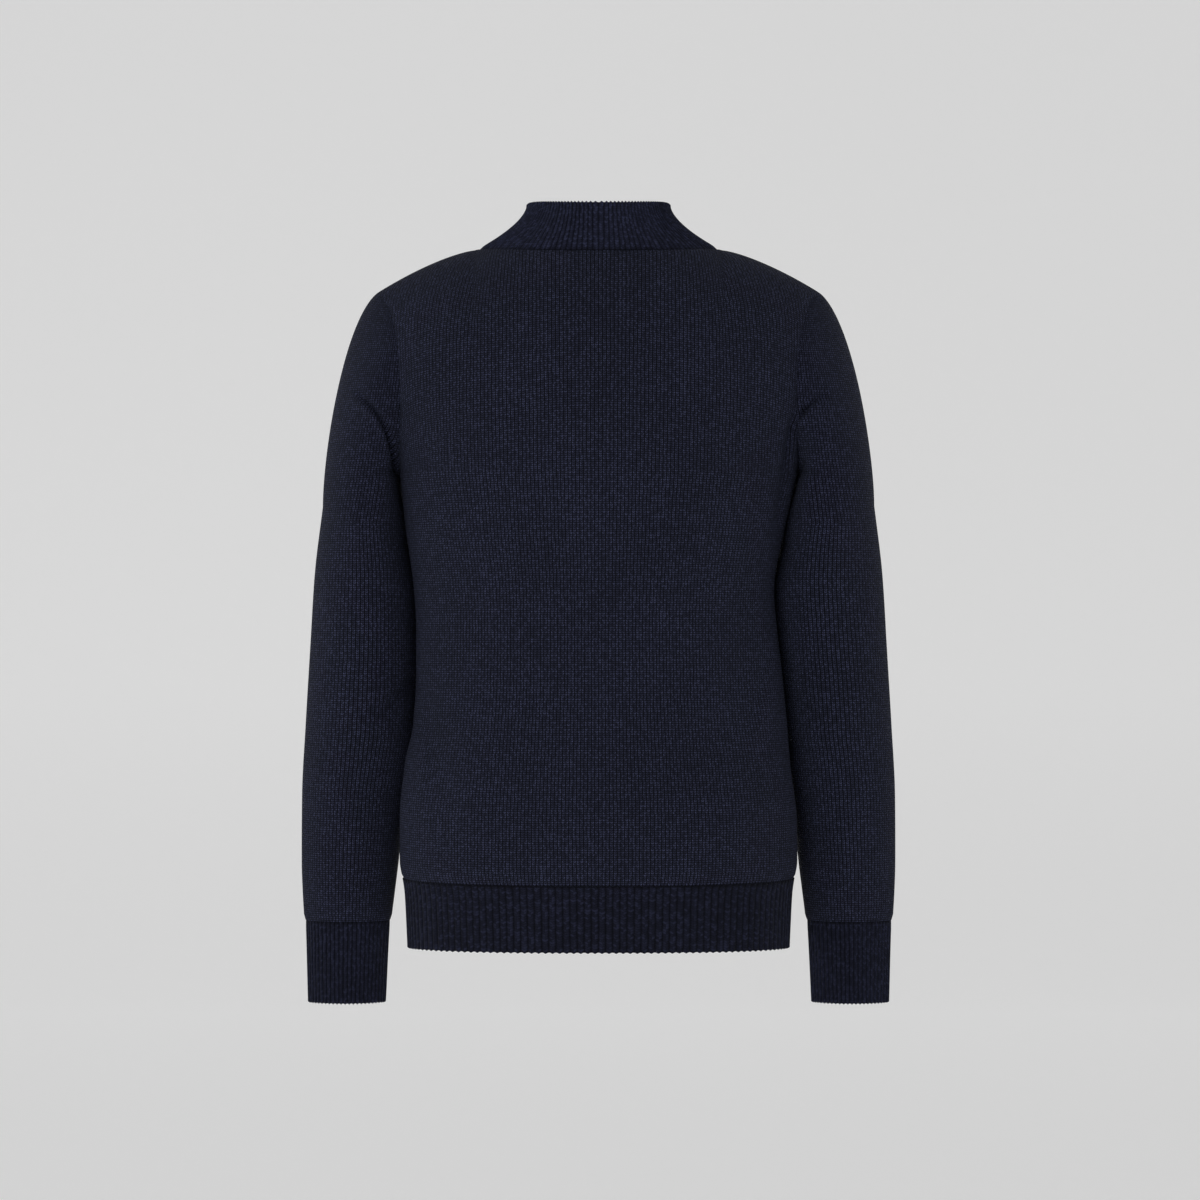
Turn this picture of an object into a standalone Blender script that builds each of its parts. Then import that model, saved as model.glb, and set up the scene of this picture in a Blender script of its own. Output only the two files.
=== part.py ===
"""A knitted zip-up cardigan, filled out as it is when worn, hollow, with nobody in it.

Every cloth piece is a thin wall lofted through sections. Its outer face is worked out from the
driving sizes below and its inner face lies a wall's thickness further in. Neighbouring pieces
share the points of their seam, drawn back by half of the seam gap on each side.

Sizes are in millimetres. +Z is up, the front faces -Y and the wearer's left is +X. The origin
lies on the middle line at the height of the neck points, where the shoulders carry the garment.
"""

import math
from collections import namedtuple

import bmesh
import bpy
from mathutils import Euler, Vector

MM = 0.001

# Cloth
WALL = 2.4              # plain knit
RIB_WALL = 1.5          # ribbed knit between its ribs
RIB_RAISE = 0.9         # how far a rib stands out
SEAM_GAP = 0.3

# Body of the garment
HEM_EDGE = -661.0
HEM_SEAM = -600.0
UNDERARM = -215.0
NECK_POINT = 118.0      # half of the neck's width at the shoulder
SHOULDER_TIP = 213.0    # half of the shoulders' width
SHOULDER_DROP = 41.0
SHOULDER_BEND = 1.4     # 1 is a straight shoulder line, more is rounder
SHOULDER_SEAM_Y = -8.0
SQUARENESS = 2.35       # exponent of the body's oval sections
BACK_NECK_DROP = 8.0
FRONT_NECK_DROP = 78.0

# Collar
COLLAR_TOP_HALF_WIDTH = 69.0
COLLAR_TOP_HALF_DEPTH = 74.0
COLLAR_TOP_BACK = 36.5
COLLAR_TOP_SIDE = 41.0
COLLAR_TOP_FRONT = -20.0
COLLAR_FLARE = 1.65
COLLAR_RIBS = 128
COLLAR_SEAM_GAP = 0.35  # the collar's own share of the gap at the neck's seam
COLLAR_BASE_RIB = 0.3   # how much of a rib is left where the collar meets the body

# Hem and cuffs
HEM_RIBS = 144
CUFF_RIBS = 50
CUFF_EDGE = -723.5
CUFF_SEAM = -645.0
CAP_END = -262.0        # where the sleeve's cap has become a tube

# Zip
ZIP_HALF_GAP = 6.5      # from the middle line to the edge of each front
TAPE = 1.0
TAPE_CLEARANCE = 0.4
TAPE_BEND = 11.0        # a line of points between the front's edge and the tape's outer edge
TAPE_OUTER_EDGE = 16.0
TEETH_WIDTH = 2.85
TEETH_THICKNESS = 2.2
MIDDLE_CLEARANCE = 0.15
SLIDER_HEIGHT = -34.0
TAPE_END = 1.0          # how far the tapes stop short of the hem and of the collar's edge
STRAIGHT_HALF = 4.0     # half of the length of zip that a metal piece takes its direction from
BOX_HEIGHT = 7.0
BOX_HALF_WIDTH = 3.0
BOX_HALF_THICKNESS = 1.6
BOX_ROUNDING = 0.4
STOP_X = (0.6, 3.0)
STOP_Z = (5.0, 7.4)
STOP_ROUNDING = 0.2

# Slider, measured from its middle: plates, flanges, post and the loop that holds the tab
PLATE_HALF_WIDTH = 4.8
PLATE_HALF_HEIGHT = 4.5
PLATE_INNER = 1.4
PLATE_OUTER = 2.3
PLATE_ROUNDING = 0.25
FLANGE_INNER_X = 3.4
FLANGE_INNER_Y = 0.9
POST_HALF_WIDTH = 1.2
POST_LOW = 1.5
LOOP_HALF_WIDTH = 1.0
LOOP_HALF_HEIGHT = 3.7
LOOP_RISE = 3.4
LOOP_BAR = 0.9
LOOP_STEPS = 10
SUNK = 0.3              # how deep one part of the slider stands in another

# Pull tab, measured from its hinge
HINGE_OUT = 3.3
TAB_HALF_WIDTH = 3.0
TAB_HALF_THICKNESS = 0.6
TAB_ARM_INNER = 1.5
TAB_EYE_LENGTH = 5.2
TAB_LENGTH = 22.0
TAB_HOLE_RADIUS = 1.3
TAB_END_STEPS = 8
TAB_HOLE_STEPS = 12

# How many steps each loft has
NECK_STEPS = 7
SHOULDER_STEPS = 5
SIDE_STEPS = 11
ARMHOLE_STEPS = 8
COLLAR_STEPS = 4
INNER_SHARE = 5         # an inner face of ribbed knit has this many times fewer steps
OVAL_STEPS = 120        # steps of an oval before it is spaced evenly
RIM_LEAN = Vector((0.21, 0.37, 1.0))    # tells the lower end of a rim's edge, also on a level one
RIB_LEVEL = 0.6         # share of the way up a welt or cuff of its middle row
SHARP_ANGLE = 50.0      # degrees, from which an edge is shaded sharp
WELD = 0.00001          # metres
FLAT = 0.01             # radians

# One row for each level of the body: half widths on the wearer's left and right, and depths
Level = namedtuple("Level", "height left right back front")
BODY = (
    Level(HEM_EDGE, 183.0, 183.0, 105.0, 107.0),
    Level(-640.0, 184.0, 184.0, 105.5, 108.0),
    Level(-614.0, 185.5, 185.5, 106.0, 109.0),
    Level(HEM_SEAM, 187.5, 187.5, 107.0, 110.0),
    Level(-584.0, 190.0, 190.0, 109.5, 113.0),
    Level(-545.0, 190.0, 189.5, 110.5, 116.0),
    Level(-490.0, 185.0, 183.0, 107.0, 118.0),
    Level(-455.0, 177.5, 180.5, 104.0, 118.0),
    Level(-410.0, 174.5, 176.0, 102.0, 118.0),
    Level(-360.0, 174.5, 170.5, 103.0, 119.0),
    Level(-325.0, 176.5, 168.0, 107.0, 121.0),
    Level(-270.0, 184.0, 177.5, 113.0, 124.0),
    Level(UNDERARM, 190.0, 190.0, 117.0, 124.0),
)

# One row for each step up the armhole, from 0 at the underarm to 1 at the shoulder's tip: the
# half width that the body's oval would have there, and the seam's distance from the middle line
Scye = namedtuple("Scye", "climb reach back front")
ARMHOLE = (
    Scye(0.0, 190.0, 190.0, 190.0),
    Scye(0.2, 200.0, 187.0, 185.0),
    Scye(0.4, 207.0, 188.5, 186.0),
    Scye(0.6, 214.0, 195.5, 193.0),
    Scye(0.8, 220.0, 206.0, 204.5),
    Scye(1.0, 225.0, 213.0, 213.0),
)

# How each face of the body rounds over towards the shoulder line
Rounding = namedtuple("Rounding", "bend ridge_rise ridge_power neck_drop neck_power")
ROUNDING = {
    1: Rounding(3.0, 48.0, 1.5, BACK_NECK_DROP, 1.0),
    -1: Rounding(2.1, -30.0, 2.0, FRONT_NECK_DROP, 0.85),
}
CLIMB_EASE = 1.35
ROW_EASE = 1.3          # rows of points lie closer together near the underarm

# One row for each ring of the sleeve: its outermost and innermost distance from the middle
# line, how far forward its middle lies, its half depth and its tilt, outer side up, in degrees
Ring = namedtuple("Ring", "height outer inner_left inner_right forward depth tilt")
SLEEVE = (
    Ring(CUFF_EDGE, 283.5, 205.0, 205.0, 46.0, 25.5, 0.0),
    Ring(CUFF_SEAM, 285.5, 200.8, 200.8, 44.0, 29.0, 0.0),
    Ring(-620.0, 286.8, 197.8, 197.8, 43.0, 36.0, 0.0),
    Ring(-590.0, 287.7, 194.0, 194.0, 42.0, 41.0, 0.0),
    Ring(-526.0, 287.0, 187.0, 187.5, 38.0, 48.0, 2.0),
    Ring(-458.0, 283.0, 176.6, 179.0, 32.0, 54.0, 3.0),
    Ring(-383.0, 278.0, 173.6, 171.4, 28.0, 60.0, 5.0),
    Ring(-320.0, 273.5, 176.0, 167.0, 24.0, 66.0, 10.0),
    Ring(CAP_END, 265.0, 184.5, 178.5, 18.0, 71.0, 22.0),
)
CUFF_STEP_IN = 1.2      # the sleeve stands this far proud of its cuff
SLEEVE_SEAM_GAP = 0.2   # the sleeve's own share of the gap at the armhole
TUBE_ROWS = (CAP_END, -291, -320, -351, -383, -420, -458, -492, -526, -558, -590, -620, CUFF_SEAM)
CAP_MIDDLE_X = 225.0
CAP_MIDDLE_Y = -18.0
CAP_START_PULL = 0.6
CAP_END_PULL = 0.75

# How the sleeve leaves the armhole, for shares of the way up from the underarm: degrees below
# level, and how much it spreads to the back and the front
Start = namedtuple("Start", "up drop spread")
CAP_START = (
    Start(0.0, 50.0, 0.0),
    Start(0.15, 22.0, 0.25),
    Start(0.5, 22.0, 0.2),
    Start(1.0, 41.0, 0.0),
)

# Fold under the arm, where the sleeve tucks in beside the body
CREASE_ROW = 0.42
CREASE_DEPTH = 7.0
CREASE_FRONT_SHARE = 0.7
CREASE_FULL_TO = 0.55   # share of the way from the underarm to the shoulder's tip
CREASE_ENDS_AT = 0.9
CAP_ROWS = (0.0, 0.1, 0.22, 0.34, CREASE_ROW, 0.5, 0.63, 0.76, 0.88)

# Large soft folds of the body: where each begins and ends (across and up), its half width and
# its depth, and the face that it is on
Fold = namedtuple("Fold", "face x0 z0 x1 z1 half_width depth")
FOLDS = (
    Fold(1, -150.0, -320.0, -128.0, -460.0, 20.0, 6.0),
    Fold(1, 158.0, -430.0, 140.0, -560.0, 18.0, 4.0),
    Fold(-1, 120.0, -240.0, 165.0, -330.0, 20.0, 5.0),
    Fold(-1, -118.0, -250.0, -160.0, -335.0, 20.0, 5.0),
    Fold(-1, -150.0, -470.0, -110.0, -560.0, 22.0, 5.0),
)

FOLD_ENDS = 0.12        # share of a half wave that is cut off at each end of a fold

# Colour, roughness and metallic value of each finish
Finish = namedtuple("Finish", "colour roughness metallic")
PLAIN_KNIT = Finish((0.0125, 0.0138, 0.0245), 0.9, 0.0)
RIBBED_KNIT = Finish((0.0090, 0.0100, 0.0180), 0.9, 0.0)
WOVEN_TAPE = Finish((0.0080, 0.0088, 0.0150), 0.85, 0.0)
DARK_METAL = Finish((0.20, 0.20, 0.21), 0.35, 1.0)


def mix(low, high, share):
    return low + (high - low) * share


def smoothstep(share):
    share = min(max(share, 0.0), 1.0)
    return share * share * (3.0 - 2.0 * share)


def read(table, column, where):
    """A table's column at any place along its first column, on a smooth curve with no overshoot."""
    rows = sorted(table)
    x = [row[0] for row in rows]
    y = [getattr(row, column) for row in rows]
    where = min(max(where, x[0]), x[-1])
    last = len(x) - 1
    rise = [(y[i + 1] - y[i]) / (x[i + 1] - x[i]) for i in range(last)]
    slope = [rise[0]]
    for before, after in zip(rise, rise[1:]):
        turns = before * after <= 0.0
        slope.append(0.0 if turns else 2.0 * before * after / (before + after))
    slope.append(rise[-1])
    i = min(sum(where >= value for value in x[1:]), last - 1)
    step = x[i + 1] - x[i]
    return hermite(y[i], slope[i] * step, y[i + 1], slope[i + 1] * step, (where - x[i]) / step)


def hermite(start, start_pull, end, end_pull, t):
    """The cubic from start to end that leaves and arrives with the given pulls."""
    past = t * t * (3.0 - 2.0 * t)
    return (
        start * (1.0 - past)
        + start_pull * (t * (1.0 - t) ** 2)
        + end * past
        + end_pull * (t * t * (t - 1.0))
    )


def side_name(side):
    return "left" if side > 0 else "right"


# Body -------------------------------------------------------------------------------------------


def ridge_height(face, x):
    """Height of the line that the body rounds over to: the shoulder, and what it would be at the neck."""
    if x >= NECK_POINT:
        share = (x - NECK_POINT) / (SHOULDER_TIP - NECK_POINT)
        return -SHOULDER_DROP * share**SHOULDER_BEND
    rounding = ROUNDING[face]
    return rounding.ridge_rise * (1.0 - (x / NECK_POINT) ** rounding.ridge_power)


def top_height(face, x):
    """Height of a panel's upper edge: the neck's curve, then the shoulder line."""
    if x >= NECK_POINT:
        return ridge_height(face, x)
    rounding = ROUNDING[face]
    return -rounding.neck_drop * (1.0 - (x / NECK_POINT) ** 2) ** rounding.neck_power


def fold_depth(face, x, z):
    """How far the soft folds press the cloth in at a place."""
    depth = 0.0
    for fold in FOLDS:
        if fold.face != face:
            continue
        run = Vector((fold.x1 - fold.x0, fold.z1 - fold.z0))
        place = Vector((x - fold.x0, z - fold.z0))
        along = min(max(place.dot(run) / run.length_squared, 0.0), 1.0)
        off = (place - run * along).length / fold.half_width
        fade = math.sin(math.pi * mix(FOLD_ENDS, 1.0 - FOLD_ENDS, along))
        depth += fold.depth * fade * math.exp(-off * off)
    return depth


def oval_share(angle):
    """(share of the half width, share of the depth) of the body's oval at an angle from the middle."""
    power = 2.0 / SQUARENESS
    return math.sin(angle) ** power, max(math.cos(angle), 0.0) ** power


def oval_angle(share):
    return math.asin(min(share, 1.0) ** (SQUARENESS / 2.0))


def widest_angle(face, rise):
    """The oval's angle at a panel's side edge, and the oval's half width there."""
    climb = rise - 1.0
    reach = read(ARMHOLE, "reach", climb)
    edge = read(ARMHOLE, "back" if face > 0 else "front", climb)
    return oval_angle(edge / reach), reach


def body_point(face, side, across, rise):
    """A point of the body's outer face.

    face is 1 on the back and -1 on the front, side is 1 on the wearer's left. across goes from 0
    on the middle line to 1 at the side seam or armhole. rise goes from 0 at the hem's seam to 1
    at the underarm and 2 at the shoulder and neck.
    """
    depth_name = "back" if face > 0 else "front"
    if rise <= 1.0:
        height = mix(HEM_SEAM, UNDERARM, rise)
        return oval_point(face, side, across * math.pi / 2.0, height)
    depth = read(BODY, depth_name, UNDERARM)
    widest, reach = widest_angle(face, rise)
    sideways, backward = oval_share(across * widest)
    x = reach * sideways
    rounding = ROUNDING[face]
    room = ridge_height(face, x) - UNDERARM
    share = min((top_height(face, x) - UNDERARM) / room, 1.0)
    turn = math.asin(share ** (rounding.bend / 2.0)) * (rise - 1.0) ** CLIMB_EASE
    z = UNDERARM + room * math.sin(turn) ** (2.0 / rounding.bend)
    seam_y = SHOULDER_SEAM_Y * (rise - 1.0)
    y = seam_y + (face * depth - seam_y) * backward * math.cos(turn)
    return Vector((side * x, y - face * fold_depth(face, side * x, z) * backward, z))


def oval_point(face, side, angle, height):
    """A point of the body's oval at a height from the underarm down."""
    width = read(BODY, side_name(side), height)
    depth = read(BODY, "back" if face > 0 else "front", height)
    sideways, backward = oval_share(angle)
    x = side * width * sideways
    return Vector((x, face * (depth - fold_depth(face, x, height)) * backward, height))


def across_at(face, side, x, rise):
    """How far across a panel a distance from the middle line is."""
    if rise <= 1.0:
        width = read(BODY, side_name(side), mix(HEM_SEAM, UNDERARM, rise))
        return oval_angle(x / width) / (math.pi / 2.0)
    widest, reach = widest_angle(face, rise)
    return oval_angle(x / reach) / widest


def panel_columns(face):
    """Shares across a half panel, with one column on the neck point."""
    neck = across_at(face, 1, NECK_POINT, 2.0)
    inner = [neck * i / NECK_STEPS for i in range(NECK_STEPS)]
    outer = [mix(neck, 1.0, i / SHOULDER_STEPS) for i in range(SHOULDER_STEPS + 1)]
    return inner + outer


def panel_rows():
    lower = [i / SIDE_STEPS for i in range(SIDE_STEPS)]
    return lower + [1.0 + (i / ARMHOLE_STEPS) ** ROW_EASE for i in range(ARMHOLE_STEPS + 1)]


def half_panel(face, side, first_x=0.0):
    """Rows of points from the middle line, or first_x from it, to the side edge."""
    grid = []
    for rise in panel_rows():
        shares = panel_columns(face)
        if first_x:
            shares[0] = across_at(face, side, first_x, rise)
        grid.append([body_point(face, side, across, rise) for across in shares])
    return grid


# Sleeves ----------------------------------------------------------------------------------------


def sleeve_point(side, angle, height):
    """A point of the sleeve's outer face: angle 0 is its outermost line and 90 degrees its back."""
    outer = read(SLEEVE, "outer", height)
    inner = read(SLEEVE, "inner_" + side_name(side), height)
    tilt = math.radians(read(SLEEVE, "tilt", height))
    half = (outer - inner) / 2.0
    return Vector((
        side * ((outer + inner) / 2.0 + half * math.cos(angle)),
        -read(SLEEVE, "forward", height) + read(SLEEVE, "depth", height) * math.sin(angle),
        height + half * math.cos(angle) * math.tan(tilt),
    ))


def ring_places(armhole):
    """(share of the way up from the underarm, face, angle on the sleeve) of each armhole point.

    armhole goes from the underarm up the back edge to the shoulder's tip and down the front edge.
    """
    half = ARMHOLE_STEPS
    walked = [0.0]
    for before, after in zip(armhole, armhole[1:] + armhole[:1]):
        walked.append(walked[-1] + (after - before).length)
    places = []
    for i in range(len(armhole)):
        if i <= half:
            up = walked[i] / walked[half]
            places.append((up, 1, math.pi * (1.0 - up)))
        else:
            up = (walked[-1] - walked[i]) / (walked[-1] - walked[half])
            places.append((up, -1, -math.pi * (1.0 - up)))
    return places


def crease(face, up, row):
    """Depth of the fold under the arm at a row of the sleeve's cap."""
    if row != CREASE_ROW:
        return 0.0
    fade = (up - CREASE_FULL_TO) / (CREASE_ENDS_AT - CREASE_FULL_TO)
    on_front = mix(1.0, CREASE_FRONT_SHARE, smoothstep(up / CREASE_FULL_TO))
    return CREASE_DEPTH * (1.0 - smoothstep(fade)) * (1.0 if face > 0 else on_front)


def sleeve_grid(side, armhole):
    """Rings of points from the armhole down to the cuff's seam."""
    places = ring_places(armhole)
    grid = []
    for row in CAP_ROWS:
        ring = []
        for start, (up, face, angle) in zip(armhole, places):
            end = sleeve_point(side, angle, CAP_END)
            onward = (end - sleeve_point(side, angle, CAP_END + 1.0)).normalized()
            drop = math.radians(read(CAP_START, "drop", up))
            spread = face * read(CAP_START, "spread", up)
            leave = Vector((side * math.cos(drop), spread, -math.sin(drop))).normalized()
            far = (end - start).length
            point = hermite(
                start, leave * far * CAP_START_PULL, end, onward * far * CAP_END_PULL, row
            )
            middle = Vector((side * CAP_MIDDLE_X, CAP_MIDDLE_Y, point.z))
            point += (middle - point).normalized() * crease(face, up, row)
            ring.append(point)
        grid.append(ring)
    for height in TUBE_ROWS:
        grid.append([sleeve_point(side, angle, height) for _, _, angle in places])
    if side < 0:
        return [points[::-1] for points in grid]
    return grid


# Walls ------------------------------------------------------------------------------------------


def point_normals(grid, closed):
    """Unnormalised outward normals of a grid of points, seen from outside as rows going up."""
    rows = len(grid)
    columns = len(grid[0])
    normals = []
    for i in range(rows):
        low, high = max(i - 1, 0), min(i + 1, rows - 1)
        line = []
        for j in range(columns):
            if closed:
                before, after = (j - 1) % columns, (j + 1) % columns
            else:
                before, after = max(j - 1, 0), min(j + 1, columns - 1)
            across = grid[i][after] - grid[i][before]
            up = grid[high][j] - grid[low][j]
            line.append(across.cross(up).normalized())
        normals.append(line)
    return normals


def place_key(point):
    return tuple(round(value, 2) for value in point)


def shared_normals(grids):
    """Normals of several grids, averaged where their points meet on a seam.

    grids maps a name to (grid, closed). The result has the same names.
    """
    total = {}
    own = {name: point_normals(grid, closed) for name, (grid, closed) in grids.items()}
    for name, (grid, _) in grids.items():
        for points, normals in zip(grid, own[name]):
            for point, normal in zip(points, normals):
                key = place_key(point)
                total[key] = total.get(key, Vector((0.0, 0.0, 0.0))) + normal
    return {
        name: [[total[place_key(point)].normalized() for point in points] for points in grid]
        for name, (grid, _) in grids.items()
    }


def offset(grid, normals, distance):
    return [
        [point + normal * distance for point, normal in zip(points, lines)]
        for points, lines in zip(grid, normals)
    ]


def drawn_back(grid, edges, gap=SEAM_GAP / 2.0):
    """The grid with the named edges (bottom, top, left, right) moved towards its middle."""
    moved = [[point.copy() for point in points] for points in grid]
    if "bottom" in edges:
        for j, point in enumerate(moved[0]):
            point += (grid[1][j] - grid[0][j]).normalized() * gap
    if "top" in edges:
        for j, point in enumerate(moved[-1]):
            point += (grid[-2][j] - grid[-1][j]).normalized() * gap
    for i, points in enumerate(moved):
        if "left" in edges:
            points[0] += (grid[i][1] - grid[i][0]).normalized() * gap
        if "right" in edges:
            points[-1] += (grid[i][-2] - grid[i][-1]).normalized() * gap
    return moved


def skin(mesh, grid, closed, flip):
    """Adds a grid's points and faces, and gives the vertices in rows.

    Each quad is parted along its shorter diagonal, so that the left and right sides match.
    """
    rows = [[mesh.verts.new(point * MM) for point in points] for points in grid]
    columns = len(grid[0])
    for low, high in zip(rows, rows[1:]):
        for j in range(columns if closed else columns - 1):
            after = (j + 1) % columns
            a, b, c, d = low[j], low[after], high[after], high[j]
            if (c.co - a.co).length < (d.co - b.co).length:
                halves = (a, b, c), (a, c, d)
            else:
                halves = (a, b, d), (b, c, d)
            for corners in halves:
                mesh.faces.new(corners[::-1] if flip else corners)
    return rows


def rim(mesh, outer, inner, closed):
    """Closes the wall between an outer and an inner line of vertices with any number of points."""
    if closed:
        outer = outer + outer[:1]
        inner = inner + inner[:1]
    i = j = 0
    while i < len(outer) - 1 or j < len(inner) - 1:
        outer_next = (i + 1) / (len(outer) - 1)
        inner_next = (j + 1) / (len(inner) - 1)
        if abs(outer_next - inner_next) < 1e-9:
            quad = (outer[i], outer[i + 1], inner[j + 1], inner[j])
            for corners in split_from_below(quad):
                mesh.faces.new(corners)
            i += 1
            j += 1
        elif outer_next < inner_next:
            mesh.faces.new((outer[i], outer[i + 1], inner[j]))
            i += 1
        else:
            mesh.faces.new((outer[i], inner[j + 1], inner[j]))
            j += 1


def split_from_below(quad):
    """Two triangles of a rim's quad, parted from its lower outer corner.

    Both rims of a seam are parted alike, so that neither cuts into the other where they twist.
    """
    a, b, c, d = quad
    if (b.co - a.co).dot(RIM_LEAN) > 0.0:
        return (a, b, c), (a, c, d)
    return (a, b, d), (b, c, d)


def wall(name, outer, inner, finish, closed=False):
    """A cloth piece: a closed wall between an outer and an inner grid of points."""
    mesh = bmesh.new()
    out_rows = skin(mesh, outer, closed, False)
    in_rows = skin(mesh, inner, closed, True)
    rim(mesh, out_rows[0][::-1], in_rows[0][::-1], closed)
    rim(mesh, out_rows[-1], in_rows[-1], closed)
    if not closed:
        rim(mesh, [row[0] for row in out_rows], [row[0] for row in in_rows], False)
        rim(mesh, [row[-1] for row in out_rows][::-1], [row[-1] for row in in_rows][::-1], False)
    bmesh.ops.recalc_face_normals(mesh, faces=mesh.faces)
    if mesh.calc_volume(signed=True) < 0.0:
        bmesh.ops.reverse_faces(mesh, faces=mesh.faces)
    return make_object(name, mesh, finish)


def make_object(name, mesh, finish):
    """A named object in the garment's collection, with a material of its own."""
    data = bpy.data.meshes.new(name)
    mesh.to_mesh(data)
    mesh.free()
    data.shade_smooth()
    data.set_sharp_from_angle(angle=math.radians(SHARP_ANGLE))
    piece = bpy.data.objects.new(name, data)
    garment_collection().objects.link(piece)
    give_finish(piece, finish)
    return piece


def garment_collection():
    found = bpy.data.collections.get("zip_cardigan")
    if found is None:
        found = bpy.data.collections.new("zip_cardigan")
        bpy.context.scene.collection.children.link(found)
    return found


def give_finish(piece, finish):
    material = bpy.data.materials.new(piece.name)
    material.use_nodes = True
    shader = material.node_tree.nodes["Principled BSDF"]
    shader.inputs["Base Color"].default_value = (*finish.colour, 1.0)
    shader.inputs["Roughness"].default_value = finish.roughness
    shader.inputs["Metallic"].default_value = finish.metallic
    material.diffuse_color = (*finish.colour, 1.0)
    piece.data.materials.clear()
    piece.data.materials.append(material)


# Ribbed pieces ----------------------------------------------------------------------------------


def ribbed(grid, closed, heights):
    """The grid with every second column raised, by heights[i] on row i."""
    normals = point_normals(grid, closed)
    return [
        [
            point + normal * (height if j % 2 else 0.0)
            for j, (point, normal) in enumerate(zip(points, lines))
        ]
        for points, lines, height in zip(grid, normals, heights)
    ]


def resampled(line, shares):
    """Points at the given shares of a line's length, straight between its points."""
    walked = [0.0]
    for before, after in zip(line, line[1:]):
        walked.append(walked[-1] + (after - before).length)
    points = []
    for share in shares:
        goal = share * walked[-1]
        i = min(sum(goal > length for length in walked[1:]), len(line) - 2)
        along = (goal - walked[i]) / (walked[i + 1] - walked[i])
        points.append(line[i].lerp(line[i + 1], along))
    return points


def hem_line(face, sides, height, inset, steps):
    """A level line round part of the body, evenly spaced, a little inside the body's oval.

    It goes anticlockwise seen from above, and stops at the zip on the front.
    """
    halves = {}
    for side in sides:
        width = read(BODY, side_name(side), height)
        depth = read(BODY, "back" if face > 0 else "front", height)
        first_x = 0.0 if face > 0 else ZIP_HALF_GAP
        start = oval_angle(first_x / width)
        line = []
        for i in range(OVAL_STEPS + 1):
            sideways, backward = oval_share(mix(start, math.pi / 2.0, i / OVAL_STEPS))
            line.append(Vector((
                side * (width - inset) * sideways, face * (depth - inset) * backward, height
            )))
        line[0].x = side * first_x
        halves[side] = line
    if face > 0:
        line = halves[1][::-1] + halves[-1][1:]
    else:
        line = halves.get(1) or halves[-1][::-1]
    return resampled(line, [i / steps for i in range(steps + 1)])


def hem_piece(name, face, sides, ribs):
    """A length of ribbed welt between its lower edge and the body's seam. Gives its inner face."""
    levels = (HEM_EDGE, mix(HEM_EDGE, HEM_SEAM, RIB_LEVEL), HEM_SEAM - SEAM_GAP / 2.0)
    steps = 2 * ribs
    outer = [hem_line(face, sides, z, WALL - RIB_WALL, steps) for z in levels]
    inner = [hem_line(face, sides, z, WALL, steps // INNER_SHARE) for z in levels]
    outer = ribbed(outer, False, (RIB_RAISE,) * len(levels))
    seams = ("left", "right")
    if face < 0:
        seams = ("right",) if 1 in sides else ("left",)
    outer, inner = drawn_back(outer, seams), drawn_back(inner, seams)
    for points, level in zip(outer + inner, levels * 2):
        for point in points:
            point.z = level
        if face < 0:
            nearest = min(points, key=lambda point: abs(point.x))
            nearest.x = math.copysign(ZIP_HALF_GAP, nearest.x)
    wall(name, outer, inner, RIBBED_KNIT)
    return inner


def cuff_ring(side, height, inset, steps):
    """A level ring of the cuff, evenly spaced, anticlockwise seen from above."""
    outer = read(SLEEVE, "outer", height)
    inner = read(SLEEVE, "inner_" + side_name(side), height)
    middle = Vector((side * (outer + inner) / 2.0, -read(SLEEVE, "forward", height), height))
    fine = []
    for i in range(OVAL_STEPS + 1):
        point = sleeve_point(side, side * 2.0 * math.pi * i / OVAL_STEPS, height)
        fine.append(point + (middle - point).normalized() * inset)
    return resampled(fine, [i / steps for i in range(steps)])


def cuff_piece(name, side):
    """The ribbed cuff, a tube that goes on from the sleeve's end."""
    levels = (CUFF_EDGE, mix(CUFF_EDGE, CUFF_SEAM, RIB_LEVEL), CUFF_SEAM - SEAM_GAP / 2.0)
    inset = WALL - RIB_WALL + CUFF_STEP_IN
    steps = 2 * CUFF_RIBS
    outer = [cuff_ring(side, z, inset, steps) for z in levels]
    inner = [cuff_ring(side, z, inset + RIB_WALL, steps // INNER_SHARE) for z in levels]
    outer = ribbed(outer, True, (RIB_RAISE,) * len(levels))
    for points, level in zip(outer + inner, levels * 2):
        for point in points:
            point.z = level
    wall(name, outer, inner, RIBBED_KNIT, closed=True)


def collar_top(share):
    """The collar's upper edge, from the middle of the back (0) to the middle of the front (1)."""
    angle = math.pi * share
    power = 2.0 / SQUARENESS
    sideways = math.sin(angle) ** power if 0.0 < share < 1.0 else 0.0
    lengthways = math.copysign(abs(math.cos(angle)) ** power, math.cos(angle))
    if share < 0.5:
        height = mix(COLLAR_TOP_BACK, COLLAR_TOP_SIDE, smoothstep(share / 0.5))
    else:
        height = mix(COLLAR_TOP_SIDE, COLLAR_TOP_FRONT, smoothstep((share - 0.5) / 0.5))
    return Vector((
        COLLAR_TOP_HALF_WIDTH * sideways, COLLAR_TOP_HALF_DEPTH * lengthways, height
    ))


def collar_half(side, neck_line, steps):
    """Rows of points of half of the collar, from the middle of the back to the zip."""
    shares = [i / steps for i in range(steps + 1)]
    base = resampled(neck_line, shares)
    grid = []
    for i in range(COLLAR_STEPS + 1):
        up = i / COLLAR_STEPS
        flare = (1.0 - up) ** COLLAR_FLARE
        row = []
        for share, low in zip(shares, base):
            high = collar_top(share)
            x = max(high.x, ZIP_HALF_GAP) if share > 0.5 else high.x
            row.append(Vector((
                mix(side * x, low.x, flare), mix(high.y, low.y, flare), mix(low.z, high.z, up)
            )))
        grid.append(row)
    return grid


def joined(left, right):
    """Two half lines that start at the middle of the back, as one that goes anticlockwise."""
    return left[::-1] + right[1:]


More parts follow.
